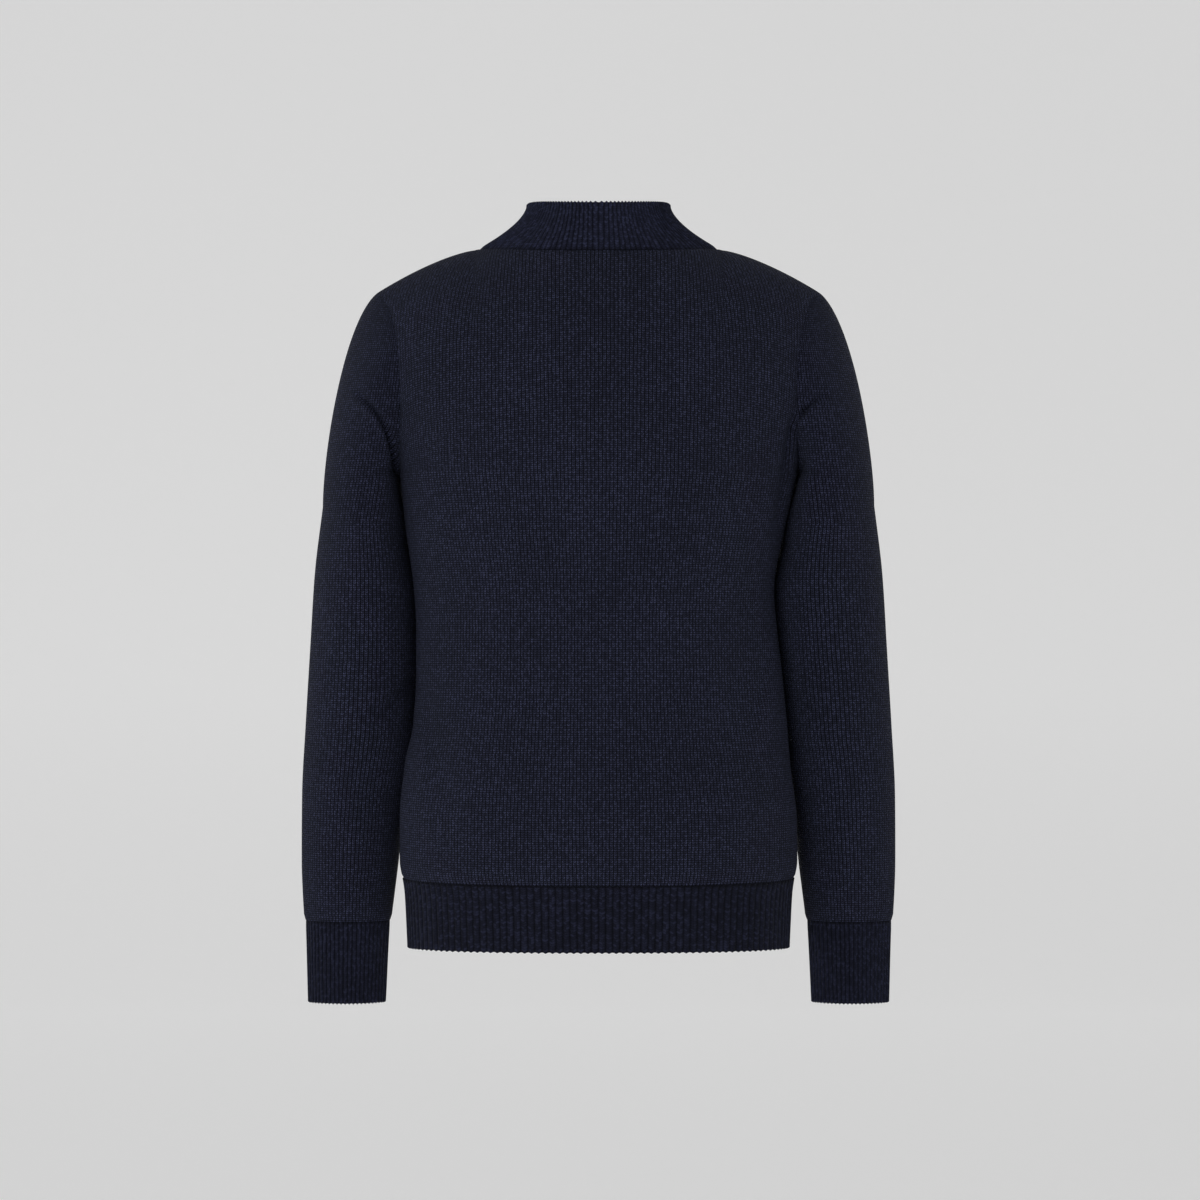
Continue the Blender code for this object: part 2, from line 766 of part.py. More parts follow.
def collar_grid(neck_lines, steps):
    """Both halves of the collar, from the zip's left side round the back to its right side."""
    halves = {side: collar_half(side, neck_lines[side], steps) for side in (1, -1)}
    return [joined(left, right) for left, right in zip(halves[1], halves[-1])]


def collar_piece(name, neck_lines, coarse, normals):
    """The collar: ribs on a fine outer face, a plain coarse inner face. Gives its inner face.

    coarse is the collar's grid through the points of the neck's seam, and normals are its own.
    """
    inner = offset(coarse, normals, -WALL)
    fine = collar_grid(neck_lines, COLLAR_RIBS)
    inset = WALL - RIB_WALL
    outer = offset(fine, point_normals(fine, False), -inset)
    seam = [point - normal * inset for point, normal in zip(coarse[0], normals[0])]
    shares = [i / COLLAR_RIBS for i in range(COLLAR_RIBS + 1)]
    middle = len(seam) // 2
    left = resampled(seam[: middle + 1][::-1], shares)
    right = resampled(seam[middle:], shares)
    outer[0] = joined(left, right)
    heights = [RIB_RAISE * COLLAR_BASE_RIB] + [RIB_RAISE] * COLLAR_STEPS
    outer = ribbed(outer, False, heights)
    for points in outer + inner:
        points[0].x = ZIP_HALF_GAP
        points[-1].x = -ZIP_HALF_GAP
    outer, inner = (drawn_back(grid, ("bottom",), COLLAR_SEAM_GAP) for grid in (outer, inner))
    wall(name, outer, inner, RIBBED_KNIT)
    return inner


# Zip --------------------------------------------------------------------------------------------


def at_x(points, x):
    """The point of a line of points at a distance from the middle line."""
    for before, after in zip(points, points[1:]):
        near, far = abs(before.x), abs(after.x)
        if near <= x <= far:
            return before.lerp(after, (x - near) / (far - near))
    return Vector((x, points[0].y, points[0].z))


def lines_at(rows, places, low, high):
    """For each row its points at the given distances, between two heights, cut off level."""
    kept = []
    lines = [[at_x(points, x) for x in places] for points in rows]
    for before, after in zip(lines, lines[1:]):
        rise = after[0].z - before[0].z
        start = (low - before[0].z) / rise
        stop = (high - before[0].z) / rise
        if stop <= 0.0 or start >= 1.0:
            continue
        if not kept:
            kept.append([a.lerp(b, max(start, 0.0)) for a, b in zip(before, after)])
        kept.append([a.lerp(b, min(stop, 1.0)) for a, b in zip(before, after)])
    return kept


def inward_of(lines):
    """For each line, the direction from the front's cloth towards the wearer, square to the zip."""
    last = len(lines) - 1
    result = []
    for i in range(len(lines)):
        along = lines[min(i + 1, last)][0] - lines[max(i - 1, 0)][0]
        result.append(Vector((0.0, along.z, -along.y)).normalized())
    return result


def strip(name, lines, side, near, far, finish):
    """A strip behind the front's inner face, between two depths."""
    outer, inner = [], []
    for points, direction in zip(lines, inward_of(lines)):
        line = [Vector((side * point.x, point.y, point.z)) for point in points[::side]]
        outer.append([point + direction * near for point in line])
        inner.append([point + direction * far for point in line])
    wall(name, outer, inner, finish)


def block(mesh, low, high):
    """A box between two corners, added to a mesh."""
    made = bmesh.ops.create_cube(mesh, size=1.0)
    low, high = Vector(low), Vector(high)
    for vertex in made["verts"]:
        share = vertex.co + Vector((0.5, 0.5, 0.5))
        vertex.co = Vector([mix(a, b, s) for a, b, s in zip(low, high, share)]) * MM


def box_object(name, low, high, finish, bevel=0.0):
    mesh = bmesh.new()
    block(mesh, low, high)
    piece = make_object(name, mesh, finish)
    if bevel:
        rounding = piece.modifiers.new("rounding", "BEVEL")
        rounding.width = bevel * MM
        rounding.segments = 2
        rounding.limit_method = "ANGLE"
    return piece


def put_together(name, pieces, finish):
    """One solid from several overlapping ones, by Boolean union."""
    first = pieces[0]
    for other in pieces[1:]:
        union = first.modifiers.new(other.name, "BOOLEAN")
        union.operation = "UNION"
        union.object = other
        other.hide_render = True
        other.display_type = "WIRE"
    bpy.context.view_layer.update()
    evaluated = first.evaluated_get(bpy.context.evaluated_depsgraph_get())
    mesh = bmesh.new()
    mesh.from_mesh(evaluated.to_mesh())
    bmesh.ops.remove_doubles(mesh, verts=mesh.verts, dist=WELD)
    bmesh.ops.dissolve_limit(mesh, angle_limit=FLAT, verts=mesh.verts, edges=mesh.edges)
    for piece in pieces:
        bpy.data.objects.remove(piece)
    return make_object(name, mesh, finish)


def arch(name):
    """The loop on the slider's front, a half ring standing on the plate."""
    mesh = bmesh.new()
    outline = []
    for i in range(LOOP_STEPS + 1):
        angle = math.pi * i / LOOP_STEPS
        outline.append((math.cos(angle) * LOOP_HALF_HEIGHT, math.sin(angle) * LOOP_RISE))
    for i in range(LOOP_STEPS, -1, -1):
        angle = math.pi * i / LOOP_STEPS
        outline.append((
            math.cos(angle) * (LOOP_HALF_HEIGHT - LOOP_BAR),
            math.sin(angle) * (LOOP_RISE - LOOP_BAR),
        ))
    foot = PLATE_OUTER - SUNK
    corners = [
        mesh.verts.new(Vector((-LOOP_HALF_WIDTH, -(foot + rise), up)) * MM)
        for up, rise in outline
    ]
    face = mesh.faces.new(corners)
    grown = bmesh.ops.extrude_face_region(mesh, geom=[face])
    moved = [item for item in grown["geom"] if isinstance(item, bmesh.types.BMVert)]
    bmesh.ops.translate(mesh, verts=moved, vec=Vector((2.0 * LOOP_HALF_WIDTH, 0.0, 0.0)) * MM)
    bmesh.ops.recalc_face_normals(mesh, faces=mesh.faces)
    return make_object(name, mesh, DARK_METAL)


def slider_solid():
    """Front and back plates with flanges, joined by the post, and the loop."""
    high = PLATE_HALF_HEIGHT
    pieces = []
    for sign, where in ((-1, "front"), (1, "back")):
        near, far = sorted((sign * PLATE_INNER, sign * PLATE_OUTER))
        low_corner = (-PLATE_HALF_WIDTH, near, -high)
        high_corner = (PLATE_HALF_WIDTH, far, high)
        name = "plate_" + where
        pieces.append(box_object(name, low_corner, high_corner, DARK_METAL, PLATE_ROUNDING))
        near, far = sorted((sign * FLANGE_INNER_Y, sign * (PLATE_INNER + SUNK)))
        for side in (-1, 1):
            x0, x1 = sorted((side * FLANGE_INNER_X, side * (PLATE_HALF_WIDTH - SUNK)))
            name = "flange_" + where + "_" + side_name(side)
            low_corner = (x0, near, -high + SUNK)
            pieces.append(box_object(name, low_corner, (x1, far, high - SUNK), DARK_METAL))
    low_corner = (-POST_HALF_WIDTH, -PLATE_INNER - SUNK, POST_LOW)
    high_corner = (POST_HALF_WIDTH, PLATE_INNER + SUNK, high - SUNK)
    pieces.append(box_object("post", low_corner, high_corner, DARK_METAL))
    pieces.append(arch("loop"))
    return put_together("zip_slider", pieces, DARK_METAL)


def tab_solid():
    """The pull tab, a flat plate with an eye round the loop, hanging from its cross bar."""
    outline = [(-TAB_HALF_WIDTH, TAB_HALF_THICKNESS), (TAB_HALF_WIDTH, TAB_HALF_THICKNESS)]
    for i in range(TAB_END_STEPS + 1):
        angle = math.pi * i / TAB_END_STEPS
        outline.append((
            TAB_HALF_WIDTH * math.cos(angle),
            -(TAB_LENGTH - TAB_HALF_WIDTH) - TAB_HALF_WIDTH * math.sin(angle),
        ))
    eye = [
        (-TAB_ARM_INNER, -TAB_HALF_THICKNESS),
        (TAB_ARM_INNER, -TAB_HALF_THICKNESS),
        (TAB_ARM_INNER, -TAB_EYE_LENGTH),
        (-TAB_ARM_INNER, -TAB_EYE_LENGTH),
    ]
    hole = []
    for i in range(TAB_HOLE_STEPS):
        angle = 2.0 * math.pi * i / TAB_HOLE_STEPS
        hole.append((
            TAB_HOLE_RADIUS * math.cos(angle),
            -(TAB_LENGTH - TAB_HALF_WIDTH) + TAB_HOLE_RADIUS * math.sin(angle),
        ))
    flat = bpy.data.curves.new("tab_outline", "CURVE")
    flat.dimensions = "2D"
    flat.fill_mode = "BOTH"
    flat.extrude = TAB_HALF_THICKNESS * MM
    for points in (outline, eye, hole):
        spline = flat.splines.new("POLY")
        spline.points.add(len(points) - 1)
        for point, (x, z) in zip(spline.points, points):
            point.co = (x * MM, z * MM, 0.0, 1.0)
        spline.use_cyclic_u = True
    guide = bpy.data.objects.new("tab_outline", flat)
    garment_collection().objects.link(guide)
    bpy.context.view_layer.update()
    evaluated = guide.evaluated_get(bpy.context.evaluated_depsgraph_get())
    mesh = bmesh.new()
    mesh.from_mesh(evaluated.to_mesh())
    bmesh.ops.remove_doubles(mesh, verts=mesh.verts, dist=WELD)
    for vertex in mesh.verts:
        vertex.co = Vector((vertex.co.x, -vertex.co.z, vertex.co.y))
    bmesh.ops.recalc_face_normals(mesh, faces=mesh.faces)
    bpy.data.objects.remove(guide)
    return make_object("zip_pull_tab", mesh, DARK_METAL)


def zip_frame(rows, height):
    """(place, turn about X) of the middle of the zip at a height."""
    lines = lines_at(rows, (0.0,), height - STRAIGHT_HALF, height + STRAIGHT_HALF)
    direction = sum(inward_of(lines), Vector((0.0, 0.0, 0.0))).normalized()
    for before, after in zip(lines, lines[1:]):
        if before[0].z <= height <= after[0].z:
            share = (height - before[0].z) / (after[0].z - before[0].z)
            place = before[0].lerp(after[0], share)
    place = place + direction * (TAPE_CLEARANCE + TAPE / 2.0)
    return place, math.atan2(direction.z, direction.y)


def build_zip(rows):
    """Tapes, teeth, slider, tab, stops and box, behind the front's inner face."""
    bottom = rows[0][0].z
    top = rows[-1][0].z
    middle = TAPE_CLEARANCE + TAPE / 2.0
    half = TEETH_THICKNESS / 2.0
    teeth_x = (MIDDLE_CLEARANCE, MIDDLE_CLEARANCE + TEETH_WIDTH)
    tape_x = (teeth_x[1] + SEAM_GAP, ZIP_HALF_GAP, TAPE_BEND, TAPE_OUTER_EDGE)
    tapes = lines_at(rows, tape_x, bottom + TAPE_END, top - TAPE_END)
    teeth_low = bottom + TAPE_END + BOX_HEIGHT + SEAM_GAP
    teeth = lines_at(rows, teeth_x, teeth_low, SLIDER_HEIGHT + POST_LOW - SEAM_GAP)
    for side in (1, -1):
        near = TAPE_CLEARANCE
        strip("zip_tape_" + side_name(side), tapes, side, near, near + TAPE, WOVEN_TAPE)
        name = "zip_teeth_" + side_name(side)
        strip(name, teeth, side, middle - half, middle + half, DARK_METAL)

    place, turn = zip_frame(rows, SLIDER_HEIGHT)
    frame = bpy.data.objects.new("zip_slider_frame", None)
    garment_collection().objects.link(frame)
    frame.location = place * MM
    frame.rotation_euler = Euler((turn, 0.0, 0.0))
    slider = slider_solid()
    slider.parent = frame
    tab = tab_solid()
    tab.parent = frame
    tab.location = Vector((0.0, -HINGE_OUT, 0.0)) * MM
    for side in (1, -1):
        low_x, high_x = sorted((side * STOP_X[0], side * STOP_X[1]))
        stop = box_object(
            "zip_top_stop_" + side_name(side),
            (low_x, -half, STOP_Z[0]),
            (high_x, half, STOP_Z[1]),
            DARK_METAL,
            STOP_ROUNDING,
        )
        stop.parent = frame
    place, turn = zip_frame(rows, bottom + TAPE_END + BOX_HEIGHT / 2.0)
    box = box_object(
        "zip_box",
        (-BOX_HALF_WIDTH, -BOX_HALF_THICKNESS, -BOX_HEIGHT / 2.0),
        (BOX_HALF_WIDTH, BOX_HALF_THICKNESS, BOX_HEIGHT / 2.0),
        DARK_METAL,
        BOX_ROUNDING,
    )
    box.location = place * MM
    box.rotation_euler = Euler((turn, 0.0, 0.0))


# The garment ------------------------------------------------------------------------------------


def column(grid, j):
    return [points[j] for points in grid]


def body_panels():
    """Grids of the back and both fronts, anticlockwise seen from above, rows going up."""
    back = [joined(left, right) for left, right in zip(half_panel(1, 1), half_panel(1, -1))]
    front_left = half_panel(-1, 1, ZIP_HALF_GAP)
    front_right = [points[::-1] for points in half_panel(-1, -1, ZIP_HALF_GAP)]
    return back, front_left, front_right


def armhole_ring(back_edge, front_edge):
    """Points from the underarm up the back edge and down the front edge, each edge going up."""
    up_back = back_edge[SIDE_STEPS:]
    up_front = front_edge[SIDE_STEPS:]
    return up_back + up_front[::-1][1:-1]


def neck_seam(back_top, front_top):
    """The neck's seam on one side, from the middle of the back to the zip, each line outwards."""
    return back_top[: NECK_STEPS + 1] + front_top[:NECK_STEPS][::-1]


def main():
    for item in list(bpy.data.objects):
        bpy.data.objects.remove(item)

    back, front_left, front_right = body_panels()
    middle = len(back[0]) // 2
    sleeves = {
        1: sleeve_grid(1, armhole_ring(column(back, 0), column(front_left, -1))),
        -1: sleeve_grid(-1, armhole_ring(column(back, -1), column(front_right, 0))),
    }
    neck_lines = {
        1: neck_seam(back[-1][: middle + 1][::-1], front_left[-1]),
        -1: neck_seam(back[-1][middle:], front_right[-1][::-1]),
    }
    collar = collar_grid(neck_lines, 2 * NECK_STEPS)
    collar[0] = joined(neck_lines[1], neck_lines[-1])

    grids = {
        "back": (back, False),
        "front_left": (front_left, False),
        "front_right": (front_right, False),
        "sleeve_left": (sleeves[1], True),
        "sleeve_right": (sleeves[-1], True),
        "collar": (collar, False),
    }
    seams = {
        "back": ("bottom", "top", "left", "right"),
        "front_left": ("bottom", "top", "right"),
        "front_right": ("bottom", "top", "left"),
        "sleeve_left": ("top",),
        "sleeve_right": ("top",),
    }
    normals = shared_normals(grids)
    inside = {name: offset(grids[name][0], normals[name], -WALL) for name in seams}
    for name, edges in seams.items():
        grid, closed = grids[name]
        outer, inner = drawn_back(grid, edges), drawn_back(inside[name], edges)
        if closed:
            for point in outer[0] + inner[0]:
                point.x += math.copysign(SLEEVE_SEAM_GAP, point.x)
        wall(name, outer, inner, PLAIN_KNIT, closed)
    collar_inside = collar_piece("collar", neck_lines, collar, normals["collar"])
    hem_piece("hem_back", 1, (1, -1), HEM_RIBS // 2)
    hem_inside = hem_piece("hem_front_left", -1, (1,), HEM_RIBS // 4)
    hem_piece("hem_front_right", -1, (-1,), HEM_RIBS // 4)
    cuff_piece("cuff_left", 1)
    cuff_piece("cuff_right", -1)
    collar_front = [points[:NECK_STEPS] for points in collar_inside[1:]]
    build_zip(hem_inside[:-1] + inside["front_left"] + collar_front)


main()
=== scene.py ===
"""Looks of the knitted zip-up cardigan: plain-knit panels, ribbed trims, zip and stage.

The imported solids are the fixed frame. Each cloth piece is built again here from the same sizes,
finely enough to carry its ribs, seams and folds, and stands for its solid.

Lengths in tables are in millimetres. +Z is up, the front faces -Y, the wearer's left is +X.
"""

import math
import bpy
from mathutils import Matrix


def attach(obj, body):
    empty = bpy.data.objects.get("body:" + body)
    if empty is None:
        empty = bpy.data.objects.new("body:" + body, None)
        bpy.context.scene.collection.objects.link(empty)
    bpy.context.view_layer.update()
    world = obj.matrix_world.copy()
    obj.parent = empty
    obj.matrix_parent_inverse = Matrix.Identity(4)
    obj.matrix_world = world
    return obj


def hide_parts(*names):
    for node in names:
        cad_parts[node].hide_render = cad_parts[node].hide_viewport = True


bl_info = {
    "name": "Zip-up Cardigan",
    "version": (1, 0, 0),
    "blender": (4, 5, 0),
    "location": "View3D > Sidebar > Cardigan",
    "description": "Dresses a packed cardigan with knit panels, ribbed trims, a zip and a stage",
    "category": "Object",
}

from collections import namedtuple

import bpy
import numpy as np
from mathutils import Vector

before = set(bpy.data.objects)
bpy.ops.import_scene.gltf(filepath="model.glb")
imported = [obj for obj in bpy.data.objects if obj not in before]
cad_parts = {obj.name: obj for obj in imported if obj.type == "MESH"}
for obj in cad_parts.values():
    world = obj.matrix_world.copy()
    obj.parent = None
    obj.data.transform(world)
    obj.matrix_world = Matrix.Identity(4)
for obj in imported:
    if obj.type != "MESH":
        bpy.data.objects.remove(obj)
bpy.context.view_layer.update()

MM = 0.001
UV_NAME = "knit"

# Sizes shared with the solids ---------------------------------------------------------------------

WALL = 2.4                # thickness of the plain knit
RIB_WALL = 1.5            # thickness of the ribbed knit between its ribs
HEM_EDGE = -661.0
HEM_SEAM = -600.0
UNDERARM = -215.0
NECK_POINT = 118.0
SHOULDER_TIP = 213.0
SHOULDER_DROP = 41.0
SHOULDER_BEND = 1.4
SHOULDER_SEAM_Y = -8.0
SQUARENESS = 2.35         # power of the body's and the collar's ovals; 2 is an ellipse
CLIMB_EASE = 1.35         # how late the body rounds over on its way from underarm to shoulder

COLLAR_TOP_HALF_WIDTH = 69.0
COLLAR_TOP_HALF_DEPTH = 74.0
COLLAR_TOP_BACK = 36.5
COLLAR_TOP_SIDE = 41.0
COLLAR_TOP_FRONT = -20.0
COLLAR_FLARE = 1.65

CUFF_EDGE = -723.5
CUFF_SEAM = -645.0
CUFF_STEP_IN = 1.2
CAP_END = -262.0
CAP_START_PULL = 0.6      # how strongly the cap keeps its way at the armhole and at its lower end
CAP_END_PULL = 0.75

ZIP_HALF_GAP = 6.5
TAPE = 1.0
TAPE_CLEARANCE = 0.4
TAPE_X = (3.3, 6.5, 8.5, 11.0, 13.5, 16.0)
TAPE_END = 1.0
TEETH_LOW = -652.7
TEETH_HIGH = -33.5

# Half widths to the left and right, and depths to the back and front, at each height
Level = namedtuple("Level", "height left right back front")
BODY = (
    Level(HEM_EDGE, 183.0, 183.0, 105.0, 107.0),
    Level(-640.0, 184.0, 184.0, 105.5, 108.0),
    Level(-614.0, 185.5, 185.5, 106.0, 109.0),
    Level(HEM_SEAM, 187.5, 187.5, 107.0, 110.0),
    Level(-584.0, 190.0, 190.0, 109.5, 113.0),
    Level(-545.0, 190.0, 189.5, 110.5, 116.0),
    Level(-490.0, 185.0, 183.0, 107.0, 118.0),
    Level(-455.0, 177.5, 180.5, 104.0, 118.0),
    Level(-410.0, 174.5, 176.0, 102.0, 118.0),
    Level(-360.0, 174.5, 170.5, 103.0, 119.0),
    Level(-325.0, 176.5, 168.0, 107.0, 121.0),
    Level(-270.0, 184.0, 177.5, 113.0, 124.0),
    Level(UNDERARM, 190.0, 190.0, 117.0, 124.0),
)

# The armhole's edge on the back and on the front, from the underarm (0) to the shoulder (1), and
# how far out the oval would reach that it is cut from
Scye = namedtuple("Scye", "climb reach back front")
ARMHOLE = (
    Scye(0.0, 190.0, 190.0, 190.0),
    Scye(0.2, 200.0, 187.0, 185.0),
    Scye(0.4, 207.0, 188.5, 186.0),
    Scye(0.6, 214.0, 195.5, 193.0),
    Scye(0.8, 220.0, 206.0, 204.5),
    Scye(1.0, 225.0, 213.0, 213.0),
)

# How the back (1) and the front (-1) round over to the shoulders, and the curve of the neck's edge
Rounding = namedtuple("Rounding", "bend ridge_rise ridge_power neck_drop neck_power")
ROUNDING = {
    1: Rounding(3.0, 48.0, 1.5, 8.0, 1.0),
    -1: Rounding(2.1, -30.0, 2.0, 78.0, 0.85),
}

# The sleeve's outer and inner sides, how far forward its middle lies, half its depth, and how
# steeply its rings tilt, in degrees
Ring = namedtuple("Ring", "height outer inner_left inner_right forward depth tilt")
SLEEVE = (
    Ring(CUFF_EDGE, 283.5, 205.0, 205.0, 46.0, 25.5, 0.0),
    Ring(CUFF_SEAM, 285.5, 200.8, 200.8, 44.0, 29.0, 0.0),
    Ring(-620.0, 286.8, 197.8, 197.8, 43.0, 36.0, 0.0),
    Ring(-590.0, 287.7, 194.0, 194.0, 42.0, 41.0, 0.0),
    Ring(-526.0, 287.0, 187.0, 187.5, 38.0, 48.0, 2.0),
    Ring(-458.0, 283.0, 176.6, 179.0, 32.0, 54.0, 3.0),
    Ring(-383.0, 278.0, 173.6, 171.4, 28.0, 60.0, 5.0),
    Ring(-320.0, 273.5, 176.0, 167.0, 24.0, 66.0, 10.0),
    Ring(CAP_END, 265.0, 184.5, 178.5, 18.0, 71.0, 22.0),
)

# How the cap leaves the armhole, from the underarm (0) to the shoulder (1): its drop in degrees,
# and how much it spreads to the back and the front
Start = namedtuple("Start", "up drop spread")
CAP_START = (
    Start(0.0, 50.0, 0.0),
    Start(0.15, 22.0, 0.25),
    Start(0.5, 22.0, 0.2),
    Start(1.0, 41.0, 0.0),
)

# Wide soft folds that the solids have too: across and up at both ends, half width, depth
Fold = namedtuple("Fold", "face x0 z0 x1 z1 half_width depth")
FOLDS = (
    Fold(1, -150.0, -320.0, -128.0, -460.0, 20.0, 6.0),
    Fold(1, 158.0, -430.0, 140.0, -560.0, 18.0, 4.0),
    Fold(-1, 120.0, -240.0, 165.0, -330.0, 20.0, 5.0),
    Fold(-1, -118.0, -250.0, -160.0, -335.0, 20.0, 5.0),
    Fold(-1, -150.0, -470.0, -110.0, -560.0, 22.0, 5.0),
)
FOLD_ENDS = 0.12          # how far into its fade a fold starts and ends

# Fine creases -------------------------------------------------------------------------------------

# Each line's points are (x, z, depth, half width). The depth is how far the cloth sinks along it,
# and lip how far it swells on the side that lip_side names: 1 is to the left of the way it runs.
Crease = namedtuple("Crease", "piece face lip lip_side points")
CREASES = (
    Crease("sleeve_left", 1, 1.3, 1, (
        (231, -137, 0.0, 3.0), (225, -144, 3.0, 2.2), (215, -152, 5.6, 2.0),
        (207, -162, 7.0, 2.0), (200, -174, 7.6, 2.0), (196, -188, 7.4, 2.1),
        (193, -203, 5.6, 2.4), (191, -222, 0.0, 3.0),
    )),
    Crease("sleeve_right", 1, 1.3, -1, (
        (-218, -139, 0.0, 3.2), (-211, -143, 3.0, 2.4), (-203, -148, 6.0, 2.0),
        (-194, -156, 7.2, 2.0), (-188, -164, 6.0, 2.0), (-184, -174, 3.0, 2.0),
    )),
    Crease("back", 1, 1.0, -1, (
        (-193, -156, 2.4, 3.2), (-188, -163, 4.2, 3.3), (-184, -174, 5.2, 3.5),
        (-181, -191, 5.4, 3.6), (-178, -212, 5.0, 3.8), (-175, -236, 4.2, 4.0),
        (-171, -262, 2.6, 4.4), (-168, -285, 0.0, 5.0),
    )),
    Crease("sleeve_left", -1, 0.8, -1, (
        (228, -136, 0.0, 4.5), (216, -146, 3.0, 3.4), (204, -160, 4.6, 2.8),
        (197, -178, 5.0, 2.6), (193, -205, 3.6, 2.8), (188, -238, 0.0, 3.6),
    )),
    Crease("sleeve_right", -1, 0.8, 1, (
        (-228, -136, 0.0, 4.5), (-214, -148, 3.0, 3.4), (-202, -162, 4.6, 2.8),
        (-195, -180, 5.0, 2.6), (-191, -205, 3.6, 2.8), (-184, -238, 0.0, 3.6),
    )),
    Crease("sleeve_left", 1, 1.2, 1, (
        (180, -414, 3.0, 5.0), (190, -426, 3.4, 4.5), (201, -436, 2.4, 6.0),
        (214, -440, 1.4, 8.0), (232, -436, 0.0, 12.0),
    )),
    Crease("sleeve_right", 1, 1.0, -1, (
        (-176, -466, 2.4, 5.5), (-184, -474, 2.4, 5.0), (-196, -479, 1.4, 7.0),
        (-214, -480, 0.0, 12.0),
    )),
    Crease("sleeve_left", -1, 1.4, -1, (
        (188, -400, 2.4, 7.0), (205, -416, 3.6, 7.0), (226, -424, 2.4, 9.0),
        (248, -420, 0.0, 12.0),
    )),
    Crease("sleeve_right", -1, 1.4, 1, (
        (-186, -404, 2.4, 7.0), (-203, -421, 3.6, 7.0), (-224, -430, 2.4, 9.0),
        (-246, -428, 0.0, 12.0),
    )),
    Crease("back", 1, 0.8, -1, (
        (-161, -372, 0.0, 8.0), (-158, -392, 1.8, 6.0), (-154, -420, 2.2, 6.0),
        (-145, -447, 1.8, 7.0), (-137, -476, 0.0, 9.0),
    )),
    Crease("back", 1, 0.6, 1, (
        (166, -400, 0.0, 7.0), (164, -416, 1.6, 5.0), (161, -440, 1.6, 6.0),
        (157, -490, 1.0, 8.0), (154, -530, 0.0, 10.0),
    )),
)
STEEP_SIDE = 0.8          # a crease's reach on its lip's side and on the other, in half widths
GENTLE_SIDE = 1.5
LIP_AWAY = 2.4            # where the lip stands and how wide it is, in the crease's half widths
LIP_REACH = 1.6
LIP_DEPTH = 5.0           # depth of the crease that has its lip at full height
CREASE_FADE = 6.0         # creases fade out this close to a seam
# A crease shows where the cloth faces its way: not at all at the first share, and wholly once the
# second is added. The same for the swell under the arm.
CREASE_FACING = (-0.05, 0.35)
HUG_FACING = (0.25, 0.5)

# Cloth --------------------------------------------------------------------------------------------

CURL_ROWS = (0.0, 0.8, 1.8, 3.2, 5.0)   # extra rows of points, this far from an edge
SHARE_DIGITS = 6          # rows whose shares agree to this many digits are one row
SIDE_SPAN = 240.0         # how long the panel, the cap and the collar are where rows are added
CAP_SPAN = 90.0
COLLAR_SPAN = 55.0
CAP_LAST = 0.985          # the cap's rows end before this share of its length
LINE_POINTS = 400         # points in a line, a ring and a turn before they are evenly spaced
RING_POINTS = 481
TURN_POINTS = 361
UPPER_SHARE = 0.52        # how many of the body's rows lie above the underarm
CAP_SHARE = 0.48          # rows of the sleeve's cap and tube, as shares of the body's rows
TUBE_SHARE = 0.38
MEETING_SHIFT = 0.003     # keeps points that meet on a seam from being rounded apart
SAME_POINT = 0.001        # points that are closer than this are one point
RIM_BULGE = 0.4           # how far a rounded edge stands out, as a share of its thickness
SHARP_ANGLE = 55.0        # edges sharper than this, in degrees, aren't smoothed

WALE_SPREAD = 0.05        # how much wider the wales are at the shoulders than at the underarm
CAP_MIDDLE = 192.0        # middle and half width of the oval that the wales run round at the
CAP_HALF_WIDTH = 24.0     # shoulder's tip
WALE_OVAL = (45.0, 58.0)  # half width and half depth of the oval that the wales are counted on
UNEVEN_SEED = 11          # starts the cloth's soft waves, about one pitch long
UNEVEN_PITCH = 95.0
WAVES = 6                 # waves in the unevenness, and the range of their pitches
WAVE_RANGE = (0.6, 1.7)

TIGHT_GAP = 0.04          # half of the gap at a seam that hardly shows
SEAM_SLANT = 0.5          # how far the welt's seams lean, so that no light shows through them
COLLAR_SEAM_GAP = 0.12    # how far the collar keeps from the neck's seam

# Ribs ---------------------------------------------------------------------------------------------

HEM_ROWS = 16
CUFF_ROWS = 18
COLLAR_ROWS = 24
HEM_SIDE_DROP = 4.5       # how much lower the welt hangs at the sides
HEM_RIB_SHARE = 0.7       # height of the hem's and the cuffs' ribs, as a share of the collar's
CUFF_RIB_SHARE = 0.75
CUFF_SEAM_RIB = 0.55      # height of a cuff's ribs at its seam, and how far down they rise from it
CUFF_SEAM_REACH = 8.0
COLLAR_BASE = 9.0         # the collar's ribs fade in over this height
COLLAR_BASE_RIB = 0.35    # their height at the neck's seam, as a share
RIB_COURSE = 2.3          # height of one row of stitches in the ribs
RIB_LEAN = 0.1            # how far the ribs wander, in ribs, and over what length
RIB_LEAN_PITCH = 90.0
RIB_BACK = 0.3            # how far the inside swells behind a groove
SCALLOP = -0.9            # how far the ribs stand past an open edge; down is negative

# Finishes and painted shade -----------------------------------------------------------------------

# Painted shade: the hem and the cuffs are painted darker than the collar, as the light falls off
# towards the bottom
RIB_PAINTED_SHADES = {"hem": 0.62, "cuff": 0.72, "collar": 1.0}
# Painted shade: the yarn is painted darker along a ribbed piece's seam, down to this share, over
# this many courses
SEAM_SHADE = 0.3          # how light the yarn looks in the shade of a ribbed piece's seam
SEAM_SHADE_COURSES = 1.4  # how far that shade reaches
SHEEN_TINT = (0.6, 0.7, 1.0, 1.0)
# How much clouds, stitch and fuzz change the yarn's tone over its least, and how much stitch and
# fuzz lift it
LEAST_TONE, CLOUD_TONE, STITCH_TONE, FUZZ_TONE = 0.75, 0.5, 0.3, 0.12
STITCH_LIFT, FUZZ_LIFT = 0.12, 0.15
